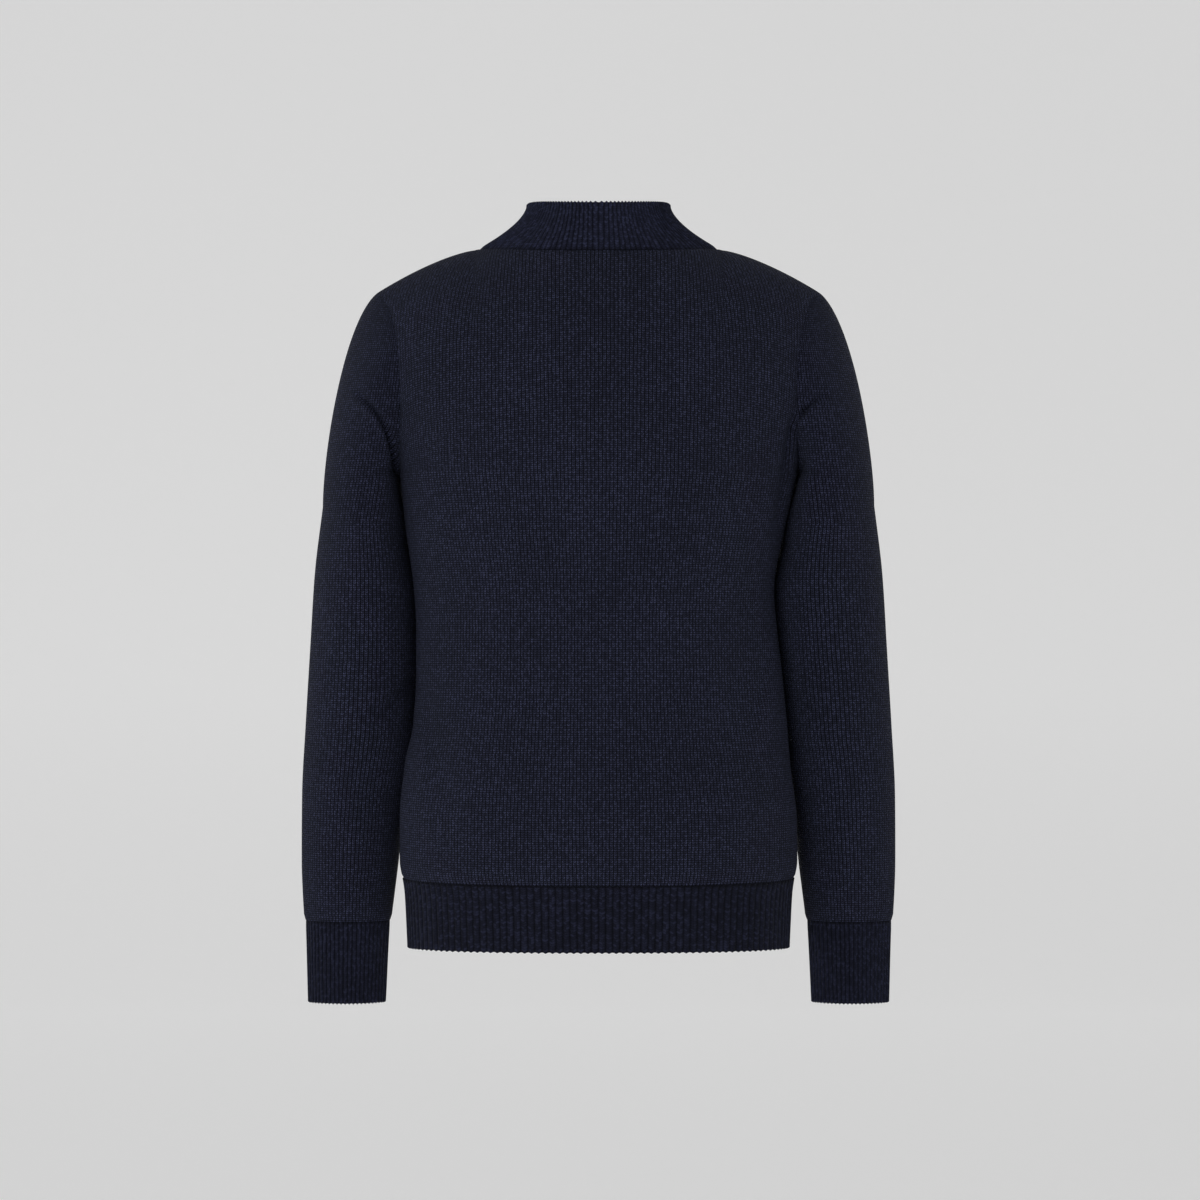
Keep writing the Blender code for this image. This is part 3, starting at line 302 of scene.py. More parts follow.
# How far the stitches of plain and ribbed knit wander, in stitches, and how steeply their legs run
PLAIN_STRAY, RIB_STRAY = 0.35, 0.4
PLAIN_SLANT, RIB_SLANT = 0.9, 1.1
# Painted shade: the power at which the plain knit's colour is painted darker towards its grooves
PLAIN_PAINTED_SHADE_POWER = 2.4      # how quickly plain knit darkens towards its grooves
RIB_RELIEF = 0.7          # height of a rib's stitches, as a share of the plain knit's
LEG_APART = 0.37          # tells the two legs of a stitch apart
# Noise, in bumps a metre: cloudiness and fuzz of the yarn, wander of the plain and ribbed stitches,
# twist of the thread, clouds and wear of the metal, unevenness of the tape
YARN_CLOUDS, YARN_FUZZ = 11.0, 1100.0
PLAIN_WANDER, RIB_WANDER = 24.0, 38.0
THREAD_GRAIN = 2400.0
METAL_CLOUDS, METAL_GRAIN = 220.0, 2600.0
TAPE_GRAIN = 900.0
# Places of sockets that have no name of their own: the object's coordinates, and a Mix node's
# share and colours
OBJECT_PLACE = 3
MIX_SHARE, MIX_LOW, MIX_HIGH, MIX_COLOUR = 0, 6, 7, 2

# Zip ----------------------------------------------------------------------------------------------

TAPE_CORD = 0.7           # pitch of the tape's cords across and of its picks along
TAPE_PICK = 0.55
ZIP_COLUMNS = 5           # ribs beside the zip that its tape reaches under
LINE_END = 0.5            # a zip's line leaves out rows that are closer than this to its ends
ZIP_STITCH_X = 9.3        # the stitching's distance from the middle line
STITCH_PROUD = 0.4        # how far the thread's middle stands out of the cloth, in its radius
STITCH_MARGIN = 8         # rows without stitches at each end of the zip
STITCH_RING = 6           # points round the thread
STITCH_REACH = 0.5        # how far along the path a stitch looks for its way
# Share of a stitch's length, its thickness there, and how far it dives into the cloth
STITCH_SECTIONS = (
    (0.0, 0.55, 1.6), (0.12, 0.85, 0.5), (0.3, 1.0, 0.0),
    (0.7, 1.0, 0.0), (0.88, 0.85, 0.5), (1.0, 0.55, 1.6),
)
# Outline of a tooth: across from the middle line, and up. Depths of its four layers with how much
# each is drawn in.
TOOTH = (
    (3.0, -0.5), (1.2, -0.5), (0.6, -0.72), (-0.3, -0.6), (-0.75, 0.0),
    (-0.3, 0.6), (0.6, 0.72), (1.2, 0.5), (3.0, 0.5),
)
TOOTH_LEVELS = ((-1.1, 0.82), (-0.85, 1.0), (0.85, 1.0), (1.1, 0.82))

# Stage --------------------------------------------------------------------------------------------

# In metres. The floor runs back from its start and sweeps up into the backdrop.
FLOOR_START = 4.5
SWEEP_START = -4.2
SWEEP_RADIUS = 0.7
BACKDROP_TOP = 3.5
STAGE_HALF_WIDTH = 5.0
FLOOR_STEPS, SWEEP_STEPS, WALL_STEPS = 12, 16, 8
WALL_START = 0.3          # the wall's first line, above the end of the sweep
WHITE = (1.0, 1.0, 1.0, 1.0)
FILM_WIDTH = 36.0
Light = namedtuple("Light", "name at towards width height power")
LIGHTS = (
    Light("key", (0.75, 2.3, -0.42), (0.03, 0.0, -0.3), 1.5, 1.3, 20.0),
    Light("side_left", (2.3, 0.1, -0.3), (0.0, 0.0, -0.35), 0.8, 1.8, 2.6),
    Light("side_right", (-2.3, 0.1, -0.3), (0.0, 0.0, -0.35), 0.8, 1.8, 2.0),
)


# Small helpers ------------------------------------------------------------------------------------


def mix(low, high, share):
    return low + (high - low) * share


def smoothstep(share):
    share = np.clip(share, 0.0, 1.0)
    return share * share * (3.0 - 2.0 * share)


def risen(value, rise):
    """0 up to where the rise starts, and 1 from where its span ends."""
    start, span = rise
    return smoothstep((value - start) / span)


def unit(vectors):
    length = np.linalg.norm(vectors, axis=-1, keepdims=True)
    return vectors / np.maximum(length, 1e-9)


def stack(x, y, z):
    return np.stack(np.broadcast_arrays(x, y, z), axis=-1).astype(float)


def hermite(start, start_pull, end, end_pull, t):
    """The cubic from start to end that leaves and arrives with the given pulls."""
    past = t * t * (3.0 - 2.0 * t)
    return (
        start * (1.0 - past)
        + start_pull * (t * (1.0 - t) ** 2)
        + end * past
        + end_pull * (t * t * (t - 1.0))
    )


class Track:
    """A smooth line through a table's values that never overshoots them."""

    def __init__(self, table, column):
        rows = sorted(table)
        self.x = np.array([row[0] for row in rows], float)
        self.y = np.array([getattr(row, column) for row in rows], float)
        rise = np.diff(self.y) / np.diff(self.x)
        before, after = rise[:-1], rise[1:]
        same_way = before * after > 0.0
        total = np.where(same_way, before + after, 1.0)
        middle = np.where(same_way, 2.0 * before * after / total, 0.0)
        self.slope = np.concatenate((rise[:1], middle, rise[-1:]))

    def __call__(self, where):
        where = np.clip(where, self.x[0], self.x[-1])
        i = np.clip(np.searchsorted(self.x, where, side="right") - 1, 0, len(self.x) - 2)
        step = self.x[i + 1] - self.x[i]
        low_pull, high_pull = self.slope[i] * step, self.slope[i + 1] * step
        return hermite(self.y[i], low_pull, self.y[i + 1], high_pull, (where - self.x[i]) / step)


body_track = {name: Track(BODY, name) for name in ("left", "right", "back", "front")}
scye_track = {name: Track(ARMHOLE, name) for name in ("reach", "back", "front")}
sleeve_track = {name: Track(SLEEVE, name) for name in Ring._fields[1:]}
start_track = {name: Track(CAP_START, name) for name in ("drop", "spread")}


def side_name(side):
    return "left" if side > 0 else "right"


def face_name(face):
    return "back" if face > 0 else "front"


def lengths_along(points, axis, closed=False):
    """Distance walked along one axis of a grid of points, from 0."""
    if closed:
        points = np.concatenate((points, np.take(points, [0], axis=axis)), axis=axis)
    steps = np.linalg.norm(np.diff(points, axis=axis), axis=-1)
    shape = list(steps.shape)
    shape[axis] = 1
    return np.concatenate((np.zeros(shape), np.cumsum(steps, axis=axis)), axis=axis)


def grid_normals(points, closed):
    """Outward unit normals of a grid that goes anticlockwise from above, with rows going up."""
    if closed:
        across = np.roll(points, -1, axis=1) - np.roll(points, 1, axis=1)
    else:
        across = np.gradient(points, axis=1)
    return unit(np.cross(across, np.gradient(points, axis=0)))


def at_places(places, walked, line):
    """Points, or directions, of a line at the given places, where walked gives its own."""
    return np.stack([np.interp(places, walked, line[:, k]) for k in range(3)], axis=-1)


def resampled(line, shares):
    """Points at the given shares of a line's length."""
    walked = lengths_along(line, 0)
    return at_places(np.asarray(shares) * walked[-1], walked, line)


def wave_noise(x, z, seed, scale):
    """Smooth unevenness between about -1 and 1, from a few crossing waves."""
    chosen = np.random.default_rng(seed)
    total = np.zeros(np.shape(x))
    for _ in range(WAVES):
        angle = chosen.uniform(0.0, math.tau)
        pitch = scale * chosen.uniform(*WAVE_RANGE)
        start = chosen.uniform(0.0, math.tau)
        total += np.sin((x * math.cos(angle) + z * math.sin(angle)) * math.tau / pitch + start)
    return total / (WAVES / 2.0)


# Body ---------------------------------------------------------------------------------------------


def ridge_height(face, x):
    """Height of the line that the body rounds over to."""
    rounding = ROUNDING[face]
    share = np.clip((x - NECK_POINT) / (SHOULDER_TIP - NECK_POINT), 0.0, None)
    shoulder = -SHOULDER_DROP * share**SHOULDER_BEND
    inward = np.clip(x / NECK_POINT, 0.0, 1.0)
    neck = rounding.ridge_rise * (1.0 - inward**rounding.ridge_power)
    return np.where(x >= NECK_POINT, shoulder, neck)


def top_height(face, x):
    """Height of a panel's upper edge: the neck's curve, then the shoulder line."""
    rounding = ROUNDING[face]
    inward = np.clip(x / NECK_POINT, 0.0, 1.0)
    neck = -rounding.neck_drop * (1.0 - inward**2) ** rounding.neck_power
    return np.where(x >= NECK_POINT, ridge_height(face, x), neck)


def fold_depth(face, x, z):
    """How far the wide folds press the cloth in."""
    depth = np.zeros(np.shape(x))
    for fold in FOLDS:
        if fold.face != face:
            continue
        run = np.array((fold.x1 - fold.x0, fold.z1 - fold.z0))
        along = ((x - fold.x0) * run[0] + (z - fold.z0) * run[1]) / (run @ run)
        along = np.clip(along, 0.0, 1.0)
        off_x = x - fold.x0 - run[0] * along
        off_z = z - fold.z0 - run[1] * along
        off = np.hypot(off_x, off_z) / fold.half_width
        fade = np.sin(math.pi * mix(FOLD_ENDS, 1.0 - FOLD_ENDS, along))
        depth += fold.depth * fade * np.exp(-off * off)
    return depth


def oval_share(angle):
    """How far sideways and backward an oval reaches at an angle from its back, as shares."""
    power = 2.0 / SQUARENESS
    sideways = np.clip(np.sin(angle), 0.0, 1.0) ** power
    return sideways, np.clip(np.cos(angle), 0.0, 1.0) ** power


def oval_angle(share):
    """The angle at which an oval reaches a share of its half width."""
    return np.arcsin(np.clip(share, 0.0, 1.0) ** (SQUARENESS / 2.0))


def panel_points(face, side, across, rise):
    """Points of the body's outer face, as in the solids.

    across goes from 0 on the middle line to 1 at the side edge, and rise from 0 at the hem's seam
    to 1 at the underarm and 2 at the shoulder and neck.
    """
    depth_track = body_track[face_name(face)]
    low_z = mix(HEM_SEAM, UNDERARM, np.minimum(rise, 1.0))
    sideways, backward = oval_share(across * math.pi / 2.0)
    low_x = body_track[side_name(side)](low_z) * sideways
    low_y = face * (depth_track(low_z) - fold_depth(face, side * low_x, low_z)) * backward

    climb = np.clip(rise - 1.0, 0.0, 1.0)
    reach = scye_track["reach"](climb)
    widest = oval_angle(scye_track[face_name(face)](climb) / reach)
    sideways, backward = oval_share(across * widest)
    high_x = reach * sideways
    rounding = ROUNDING[face]
    room = ridge_height(face, high_x) - UNDERARM
    share = np.clip((top_height(face, high_x) - UNDERARM) / room, 0.0, 1.0)
    turn = np.arcsin(share ** (rounding.bend / 2.0)) * climb**CLIMB_EASE
    high_z = UNDERARM + room * np.sin(turn) ** (2.0 / rounding.bend)
    seam_y = SHOULDER_SEAM_Y * climb
    high_y = seam_y + (face * depth_track(UNDERARM) - seam_y) * backward * np.cos(turn)
    high_y = high_y - face * fold_depth(face, side * high_x, high_z) * backward

    upper = rise > 1.0
    return stack(
        side * np.where(upper, high_x, low_x),
        np.where(upper, high_y, low_y),
        np.where(upper, high_z, low_z),
    )


def across_at(face, side, x, rise):
    """How far across a panel a distance from the middle line is."""
    low_z = mix(HEM_SEAM, UNDERARM, np.minimum(rise, 1.0))
    low = oval_angle(x / body_track[side_name(side)](low_z)) / (math.pi / 2.0)
    climb = np.clip(rise - 1.0, 0.0, 1.0)
    reach = scye_track["reach"](climb)
    widest = oval_angle(scye_track[face_name(face)](climb) / reach)
    return np.where(rise > 1.0, oval_angle(x / reach) / widest, low)


def merged(*shares):
    """All of the shares in order, each once."""
    return np.unique(np.round(np.concatenate(shares), SHARE_DIGITS))


def with_ends(values, length):
    """A row of shares from 0 to 1 with a few more close to both ends of a length."""
    near = np.array(CURL_ROWS) / length
    return merged(values, near, 1.0 - near)


def panel_rises(rows):
    """Rises of the body's rows: 0 at the hem's seam, 1 at the underarm, 2 at the upper edge."""
    lower = np.linspace(0.0, 1.0, int(rows * (1.0 - UPPER_SHARE)) + 1)
    upper = 1.0 + np.linspace(0.0, 1.0, int(rows * UPPER_SHARE) + 1)
    ends = np.array(CURL_ROWS)
    bottom = ends / (UNDERARM - HEM_SEAM)
    top = 2.0 - ends / (2.0 * -UNDERARM)
    return merged(lower, upper, bottom, top)


def edge_levels(edge, seam, rows):
    """Heights of a ribbed piece's rows, from its open edge up to its seam."""
    near = edge + np.array(CURL_ROWS[:-1])
    return np.unique(np.concatenate((near, np.linspace(edge, seam - TIGHT_GAP, rows))))


def half_panel(face, side, rises, columns, first_x=0.0):
    """Grid of half a panel, from the middle line, or first_x from it, to the side edge."""
    neck = float(across_at(face, 1, NECK_POINT, 2.0))
    split = int(columns * neck)
    shares = merged(
        np.linspace(0.0, neck, split, endpoint=False),
        np.linspace(neck, 1.0, columns - split + 1),
        1.0 - np.array(CURL_ROWS) / SIDE_SPAN,
    )
    across = np.broadcast_to(shares, (len(rises), len(shares))).copy()
    if first_x:
        start = across_at(face, side, first_x, rises)[:, None]
        across = start + across * (1.0 - start)
    return panel_points(face, side, across, rises[:, None])


# Sleeves ------------------------------------------------------------------------------------------


def sleeve_middle(side, height):
    """(half width, middle's distance across, how far forward) of the sleeve at a height."""
    outer = sleeve_track["outer"](height)
    inner = sleeve_track["inner_" + side_name(side)](height)
    return (outer - inner) / 2.0, (outer + inner) / 2.0, sleeve_track["forward"](height)


def sleeve_points(side, angle, height):
    """Points of the sleeve's outer face: angle 0 is its outermost line, 90 degrees its back."""
    half, middle, forward = sleeve_middle(side, height)
    slope = np.tan(np.radians(sleeve_track["tilt"](height)))
    return stack(
        side * (middle + half * np.cos(angle)),
        -forward + sleeve_track["depth"](height) * np.sin(angle),
        height + half * np.cos(angle) * slope,
    )


def armhole_line(side, rises):
    """Points from the underarm up the back edge to the shoulder's tip and down the front edge."""
    up = rises[rises >= 1.0]
    back = panel_points(1, side, 1.0, up)
    front = panel_points(-1, side, 1.0, up)
    return np.concatenate((back, front[-2:0:-1]))


def sleeve_grid(side, rises, cap_rows, tube_rows):
    """Rings from the armhole down to the cuff's seam."""
    armhole = armhole_line(side, rises)
    half = len(armhole) // 2
    walked = lengths_along(armhole, 0, closed=True)
    i = np.arange(len(armhole))
    on_back = i <= half
    whole = walked[-1]
    up_front = (whole - walked[:-1]) / (whole - walked[half])
    up = np.where(on_back, walked[:-1] / walked[half], up_front)
    face = np.where(on_back, 1.0, -1.0)
    angle = face * math.pi * (1.0 - up)
    end = sleeve_points(side, angle, CAP_END)
    onward = unit(end - sleeve_points(side, angle, CAP_END + 1.0))
    drop = np.radians(start_track["drop"](up))
    leave = unit(stack(side * np.cos(drop), face * start_track["spread"](up), -np.sin(drop)))
    far = np.linalg.norm(end - armhole, axis=-1, keepdims=True)
    shares = with_ends(np.linspace(0.0, 1.0, cap_rows + 1)[:-1], CAP_SPAN)
    shares = shares[shares < CAP_LAST]
    cap = [
        hermite(armhole, leave * far * CAP_START_PULL, end, onward * far * CAP_END_PULL, t)
        for t in shares
    ]
    tube = [sleeve_points(side, angle, z) for z in np.linspace(CAP_END, CUFF_SEAM, tube_rows)]
    grid = np.array(cap + tube)
    return grid if side > 0 else grid[:, ::-1]


def sleeve_uv(side, grid, pitch):
    """Wales that run down the arm and into the armhole's seam, and level courses."""
    x, y, z = side * grid[..., 0], grid[..., 1], grid[..., 2]
    half, middle, forward = sleeve_middle(side, np.clip(z, CUFF_SEAM, CAP_END))
    rise = np.clip((z - CAP_END) / (-SHOULDER_DROP - CAP_END), 0.0, 1.0)
    middle = mix(middle, CAP_MIDDLE, rise)
    half = mix(half, CAP_HALF_WIDTH, rise)
    depth = sleeve_track["depth"](np.clip(z, CUFF_SEAM, CAP_END))
    angle = np.unwrap(np.arctan2((y + forward) / depth, (x - middle) / half), axis=1)
    outermost = grid.shape[1] // 2 - (0 if side > 0 else 1)
    angle -= np.round(angle[:, outermost : outermost + 1] / math.tau) * math.tau
    turns = np.linspace(0.0, math.tau, TURN_POINTS)
    speed = np.hypot(WALE_OVAL[0] * np.sin(turns), WALE_OVAL[1] * np.cos(turns))
    arc = np.concatenate(((0.0,), np.cumsum((speed[1:] + speed[:-1]) / 2.0) * turns[1]))
    width = np.interp(np.mod(angle, math.tau), turns, arc) + np.floor(angle / math.tau) * arc[-1]
    outer = grid[:, outermost]
    length = lengths_along(outer, 0)
    height = np.interp(-z, -outer[:, 2], length)
    wrap = width[:, :1] + np.sign(width[:, -1:] - width[:, :1]) * arc[-1]
    width = np.concatenate((width, wrap), axis=1)
    height = np.concatenate((height, height[:, :1]), axis=1)
    return np.stack((width / pitch.wale_pitch, -height / pitch.course_pitch), axis=-1)


# Folds, seams and walls ---------------------------------------------------------------------------


def crease_shift(piece, points, normals):
    """How far a piece's creases move each point along its normal, where it faces their way."""
    shift = np.zeros(points.shape[:-1])
    for crease in CREASES:
        if crease.piece != piece:
            continue
        facing = risen(normals[..., 1] * crease.face, CREASE_FACING)
        line = np.array(crease.points, float)
        nearest = np.full(shift.shape, np.inf)
        move = np.zeros(shift.shape)
        for low, high in zip(line, line[1:]):
            run = high[:2] - low[:2]
            off_x, off_z = points[..., 0] - low[0], points[..., 2] - low[1]
            along = np.clip((off_x * run[0] + off_z * run[1]) / (run @ run), 0.0, 1.0)
            off_x, off_z = off_x - run[0] * along, off_z - run[1] * along
            off = np.hypot(off_x, off_z)
            sign = np.sign(run[0] * off_z - run[1] * off_x) * crease.lip_side
            depth, width = mix(low[2], high[2], along), mix(low[3], high[3], along)
            wide = np.where(sign > 0.0, STEEP_SIDE * width, GENTLE_SIDE * width)
            trough = -depth * np.exp(-((off / wide) ** 2))
            beside = (off - LIP_AWAY * width) / (LIP_REACH * width)
            lip = crease.lip * (depth / LIP_DEPTH) * np.exp(-(beside**2))
            here = trough + np.where(sign > 0.0, lip, 0.0)
            closer = off < nearest
            nearest = np.where(closer, off, nearest)
            move = np.where(closer, here, move)
        shift += move * facing
    return shift


def from_edges(points, closed):
    """Distances of a grid's points from its edges."""
    up = lengths_along(points, 0)
    away = {"bottom": up, "top": up[-1:] - up}
    if not closed:
        across = lengths_along(points, 1)
        away.update({"left": across, "right": across[:, -1:] - across})
    return away


def seam_sink(points, closed, edges, width, depth):
    """How far the cloth sinks beside its sewn edges. edges gives each one's share of the depth."""
    away = from_edges(points, closed)
    sinks = [share * (1.0 - smoothstep(away[edge] / width)) for edge, share in edges.items()]
    return -depth * np.max(sinks, axis=0)


def drawn_back(points, edges, gap):
    """The grid with the named edges moved towards its middle."""
    moved = points.copy()
    if "bottom" in edges:
        moved[0] += unit(points[1] - points[0]) * gap
    if "top" in edges:
        moved[-1] += unit(points[-2] - points[-1]) * gap
    if "left" in edges:
        moved[:, 0] += unit(points[:, 1] - points[:, 0]) * gap
    if "right" in edges:
        moved[:, -1] += unit(points[:, -2] - points[:, -1]) * gap
    return moved


def edge_fade(points, closed, edges, width):
    """0 on the named edges, rising to 1 at a distance from them."""
    away = from_edges(points, closed)
    return np.prod([smoothstep(away[edge] / width) for edge in edges], axis=0)


def panel_uv(points, rises, pitch):
    """Wale and course counts of a body panel: the same wales all the way up, and level courses."""
    level = points * (1.0, 1.0, 0.0)
    across = lengths_along(level, 1)
    middle = np.argmin(np.abs(points[0, :, 0]))
    total = across[:, -1:]
    underarm = np.searchsorted(rises, 1.0)
    climb = rises[:, None] - 1.0
    scale = np.where(climb < 0.0, total[underarm] / total, 1.0 / (1.0 + WALE_SPREAD * climb))
    wales = (across - across[:, middle : middle + 1]) * scale / pitch.wale_pitch
    return np.stack((wales, lengths_along(points, 0) / pitch.course_pitch), axis=-1)


def rounded_rim(outer, inner, row, inward_row):
    """A line of points that rounds the open edge between a wall's two faces."""
    thickness = np.linalg.norm(outer[row] - inner[row], axis=-1, keepdims=True)
    out_of_edge = unit(outer[row] - outer[inward_row])
    return (outer[row] + inner[row]) / 2.0 + out_of_edge * thickness * RIM_BULGE


def wall_piece(name, outer, inner, uv, closed=False, round_edges=()):
    """A closed wall of cloth between an outer and an inner grid, with the knit's counts as UVs.

    A tube's counts have one more column than its points.
    """
    rows, columns = outer.shape[:2]
    levels = list(outer)
    counts = list(uv)
    if "top" in round_edges:
        levels.append(rounded_rim(outer, inner, rows - 1, rows - 2))
        counts.append(uv[-1])
    levels += list(inner[::-1])
    counts += list(uv[::-1])
    if "bottom" in round_edges:
        levels.append(rounded_rim(outer, inner, 0, 1))
        counts.append(uv[0])
    levels, counts = np.array(levels), np.array(counts)
    spans = columns if closed else columns - 1
    i, j = np.meshgrid(np.arange(len(levels)), np.arange(spans), indexing="ij")
    i, j = i.ravel(), j.ravel()
    above, after = (i + 1) % len(levels), (j + 1) % columns
    corners = ((i, j, j), (i, after, j + 1), (above, after, j + 1), (above, j, j))
    faces = np.stack([row * columns + column for row, column, _ in corners], axis=-1)
    uvs = np.stack([counts[row, place] for row, _, place in corners], axis=1)
    if not closed:
        low = np.arange(rows - 1)
        inside = len(levels) - 1 - low - (1 if "bottom" in round_edges else 0)
        for column, flip in ((0, False), (columns - 1, True)):
            ends = np.stack((low, low + 1, inside - 1, inside), axis=-1)
            end_uvs = counts[ends, column]
            ends = ends * columns + column
            faces = np.concatenate((faces, ends[:, ::-1] if flip else ends))
            uvs = np.concatenate((uvs, end_uvs[:, ::-1] if flip else end_uvs))
    faces, uvs = faces.tolist(), uvs.reshape(-1, 2).tolist()
    if not closed:
        for row, used in ((rows - 1, "top"), (0, "bottom")):
            if used not in round_edges:
                continue
            rim_row = rows if used == "top" else len(levels) - 1
            inner_row = rows + 1 if used == "top" else len(levels) - 2
            order = (row, rim_row, inner_row)
            for column, flip in ((0, used == "bottom"), (columns - 1, used == "top")):
                turn = order[::-1] if flip else order
                faces.append([k * columns + column for k in turn])
                uvs += [counts[k, column].tolist() for k in turn]
    return mesh_piece(name, levels.reshape(-1, 3), faces, uvs)


def mesh_piece(name, points, faces, uvs=None):
    """A smooth mesh object in the scene, from points in millimetres, faces and corner UVs."""
    mesh = bpy.data.meshes.new(name)
    mesh.from_pydata((np.asarray(points) * MM).tolist(), [], faces)
    if uvs is not None:
        layer = mesh.uv_layers.new(name=UV_NAME)
        layer.data.foreach_set("uv", np.array(uvs, np.float32).ravel())
    mesh.shade_smooth()
    mesh.set_sharp_from_angle(angle=math.radians(SHARP_ANGLE))
    piece = bpy.data.objects.new(name, mesh)
    bpy.context.scene.collection.objects.link(piece)
    return piece


def surface_area(points, closed):
    """Area of a grid of points, in square millimetres."""
    if closed:
        points = np.concatenate((points, points[:, :1]), axis=1)
    low, high = points[:-1], points[1:]
    first = np.cross(low[:, 1:] - low[:, :-1], high[:, 1:] - low[:, :-1])
    second = np.cross(high[:, 1:] - low[:, :-1], high[:, :-1] - low[:, :-1])
    both = np.linalg.norm(first, axis=-1) + np.linalg.norm(second, axis=-1)
    return float(both.sum() / 2.0)


def show_cloth(piece, nodes, cut, look):
    """Makes a piece of cloth stand for its solids: its body, finish and flat cut in millimetres, of
    which the flat cut is not used.
    """
    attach(piece, "garment")
    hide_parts(*nodes)
    piece.data.materials.append(look)


# Knitted looks ------------------------------------------------------------------------------------


class Signal:
    """A number, colour or vector that varies over a surface. Arithmetic on it adds Math nodes."""

    def __init__(self, look, socket):
        self.look = look
        self.socket = socket

    def maths(self, operation, first, second=0.0):
        return self.look.node("ShaderNodeMath", {"operation": operation}, {0: first, 1: second})

    def __add__(self, other):
        return self.maths("ADD", self, other)

    def __radd__(self, other):
        return self.maths("ADD", other, self)

    def __sub__(self, other):
        return self.maths("SUBTRACT", self, other)

    def __rsub__(self, other):
        return self.maths("SUBTRACT", other, self)

    def __mul__(self, other):
        return self.maths("MULTIPLY", self, other)

    def __rmul__(self, other):
        return self.maths("MULTIPLY", other, self)

    def __truediv__(self, other):
        return self.maths("DIVIDE", self, other)

    def __rtruediv__(self, other):
        return self.maths("DIVIDE", other, self)

    def __pow__(self, other):
        return self.maths("POWER", self, other)

    def __rpow__(self, other):
        return self.maths("POWER", other, self)

    def __abs__(self):
        return self.maths("ABSOLUTE", self)

    def fraction(self):
        return self.maths("FRACT", self)

    def whole(self):
        return self.maths("FLOOR", self)

    def at_least(self, other):
        return self.maths("MAXIMUM", self, other)

    def at_most(self, other):
        return self.maths("MINIMUM", self, other)

    def wave(self):
        """The sine of this many whole turns."""
        return self.maths("SINE", self * math.tau)


class Nodes:
    """A node tree that expressions add nodes to."""

    def __init__(self, tree):
        self.tree = tree

    def node(self, kind, settings=None, inputs=None, output=0):
        """Adds a node: its settings first, then the values or links of its sockets."""
        made = self.tree.nodes.new(kind)
        for name, value in (settings or {}).items():
            setattr(made, name, value)
        for key, value in (inputs or {}).items():
            if isinstance(value, Signal):
                self.tree.links.new(value.socket, made.inputs[key])
            else:
                made.inputs[key].default_value = value
        return Signal(self, made.outputs[output])

    def split(self, vector):
        made = self.node("ShaderNodeSeparateXYZ", inputs={0: vector}).socket.node
        return [Signal(self, output) for output in made.outputs]

    def join(self, x, y, z=0.0):
        return self.node("ShaderNodeCombineXYZ", inputs={0: x, 1: y, 2: z})

    def mixed(self, share, low, high):
        """A colour between two, by a share from 0 to 1."""
        settings = {"data_type": "RGBA", "blend_type": "MIX"}
        values = {MIX_SHARE: share, MIX_LOW: low, MIX_HIGH: high}
        return self.node("ShaderNodeMix", settings, values, output=MIX_COLOUR)

    def noise(self, place, scale, detail=2.0):
        values = {"Vector": place, "Scale": scale, "Detail": detail}
        return self.node("ShaderNodeTexNoise", inputs=values)

    def place(self):
        """Where a point lies on its piece, in metres."""
        return self.node("ShaderNodeTexCoord", output=OBJECT_PLACE)

    def counts(self):
        """The two counts that a piece's UVs carry, across the cloth and along it."""
        return self.split(self.node("ShaderNodeUVMap", {"uv_map": UV_NAME}))[:2]


class Look(Nodes):
    """A material and the nodes that make its finish."""

    def __init__(self, name, colour, roughness, **constants):
        self.material = bpy.data.materials.new(name)
        self.material.use_nodes = True
        super().__init__(self.material.node_tree)
        self.shader = self.tree.nodes["Principled BSDF"]
        self.shader.inputs["Base Color"].default_value = (*colour, 1.0)
        self.shader.inputs["Roughness"].default_value = roughness
        for socket, value in constants.items():
            self.shader.inputs[socket.replace("_", " ")].default_value = value
        self.material.diffuse_color = (*colour, 1.0)

    def feed(self, socket, signal):
        self.tree.links.new(signal.socket, self.shader.inputs[socket])

    def paint(self, share, colour, dark, light):
        """Colours the piece between a darker and a lighter tone, by a share from 0 to 1."""
        self.feed("Base Color", self.mixed(share, shade(colour, dark), shade(colour, light)))

    def bumped(self, height, distance, strength=1.0):
        values = {"Strength": strength, "Distance": distance, "Height": height}
        self.feed("Normal", self.node("ShaderNodeBump", inputs=values))


def shade(colour, factor):
    """A colour made lighter or darker, for a colour socket."""
    return tuple(min(part * factor, 1.0) for part in colour[:3]) + (1.0,)


def stitch_relief(look, wale, course, slant):
    """Height from 0 to 1 of rows of V-shaped stitches, and a random number for each stitch."""
    off = abs(wale.fraction() - 0.5)
    leg_course = course - off * slant
    phase = leg_course.fraction()
    strand = phase * (1.0 - phase) * 4.0
    leg = 1.0 - (off * 4.0 - 1.0) ** 2.0
    ridge = leg * 0.5 + (1.0 - off * 2.0) * 0.5
    height = ridge * (strand * 0.7 + 0.3)
    stitch = look.join(wale.whole(), leg_course.whole(), (wale * 2.0).whole() * LEG_APART)
    chance = look.node("ShaderNodeTexWhiteNoise", {"noise_dimensions": "3D"}, {"Vector": stitch})
    return height, chance


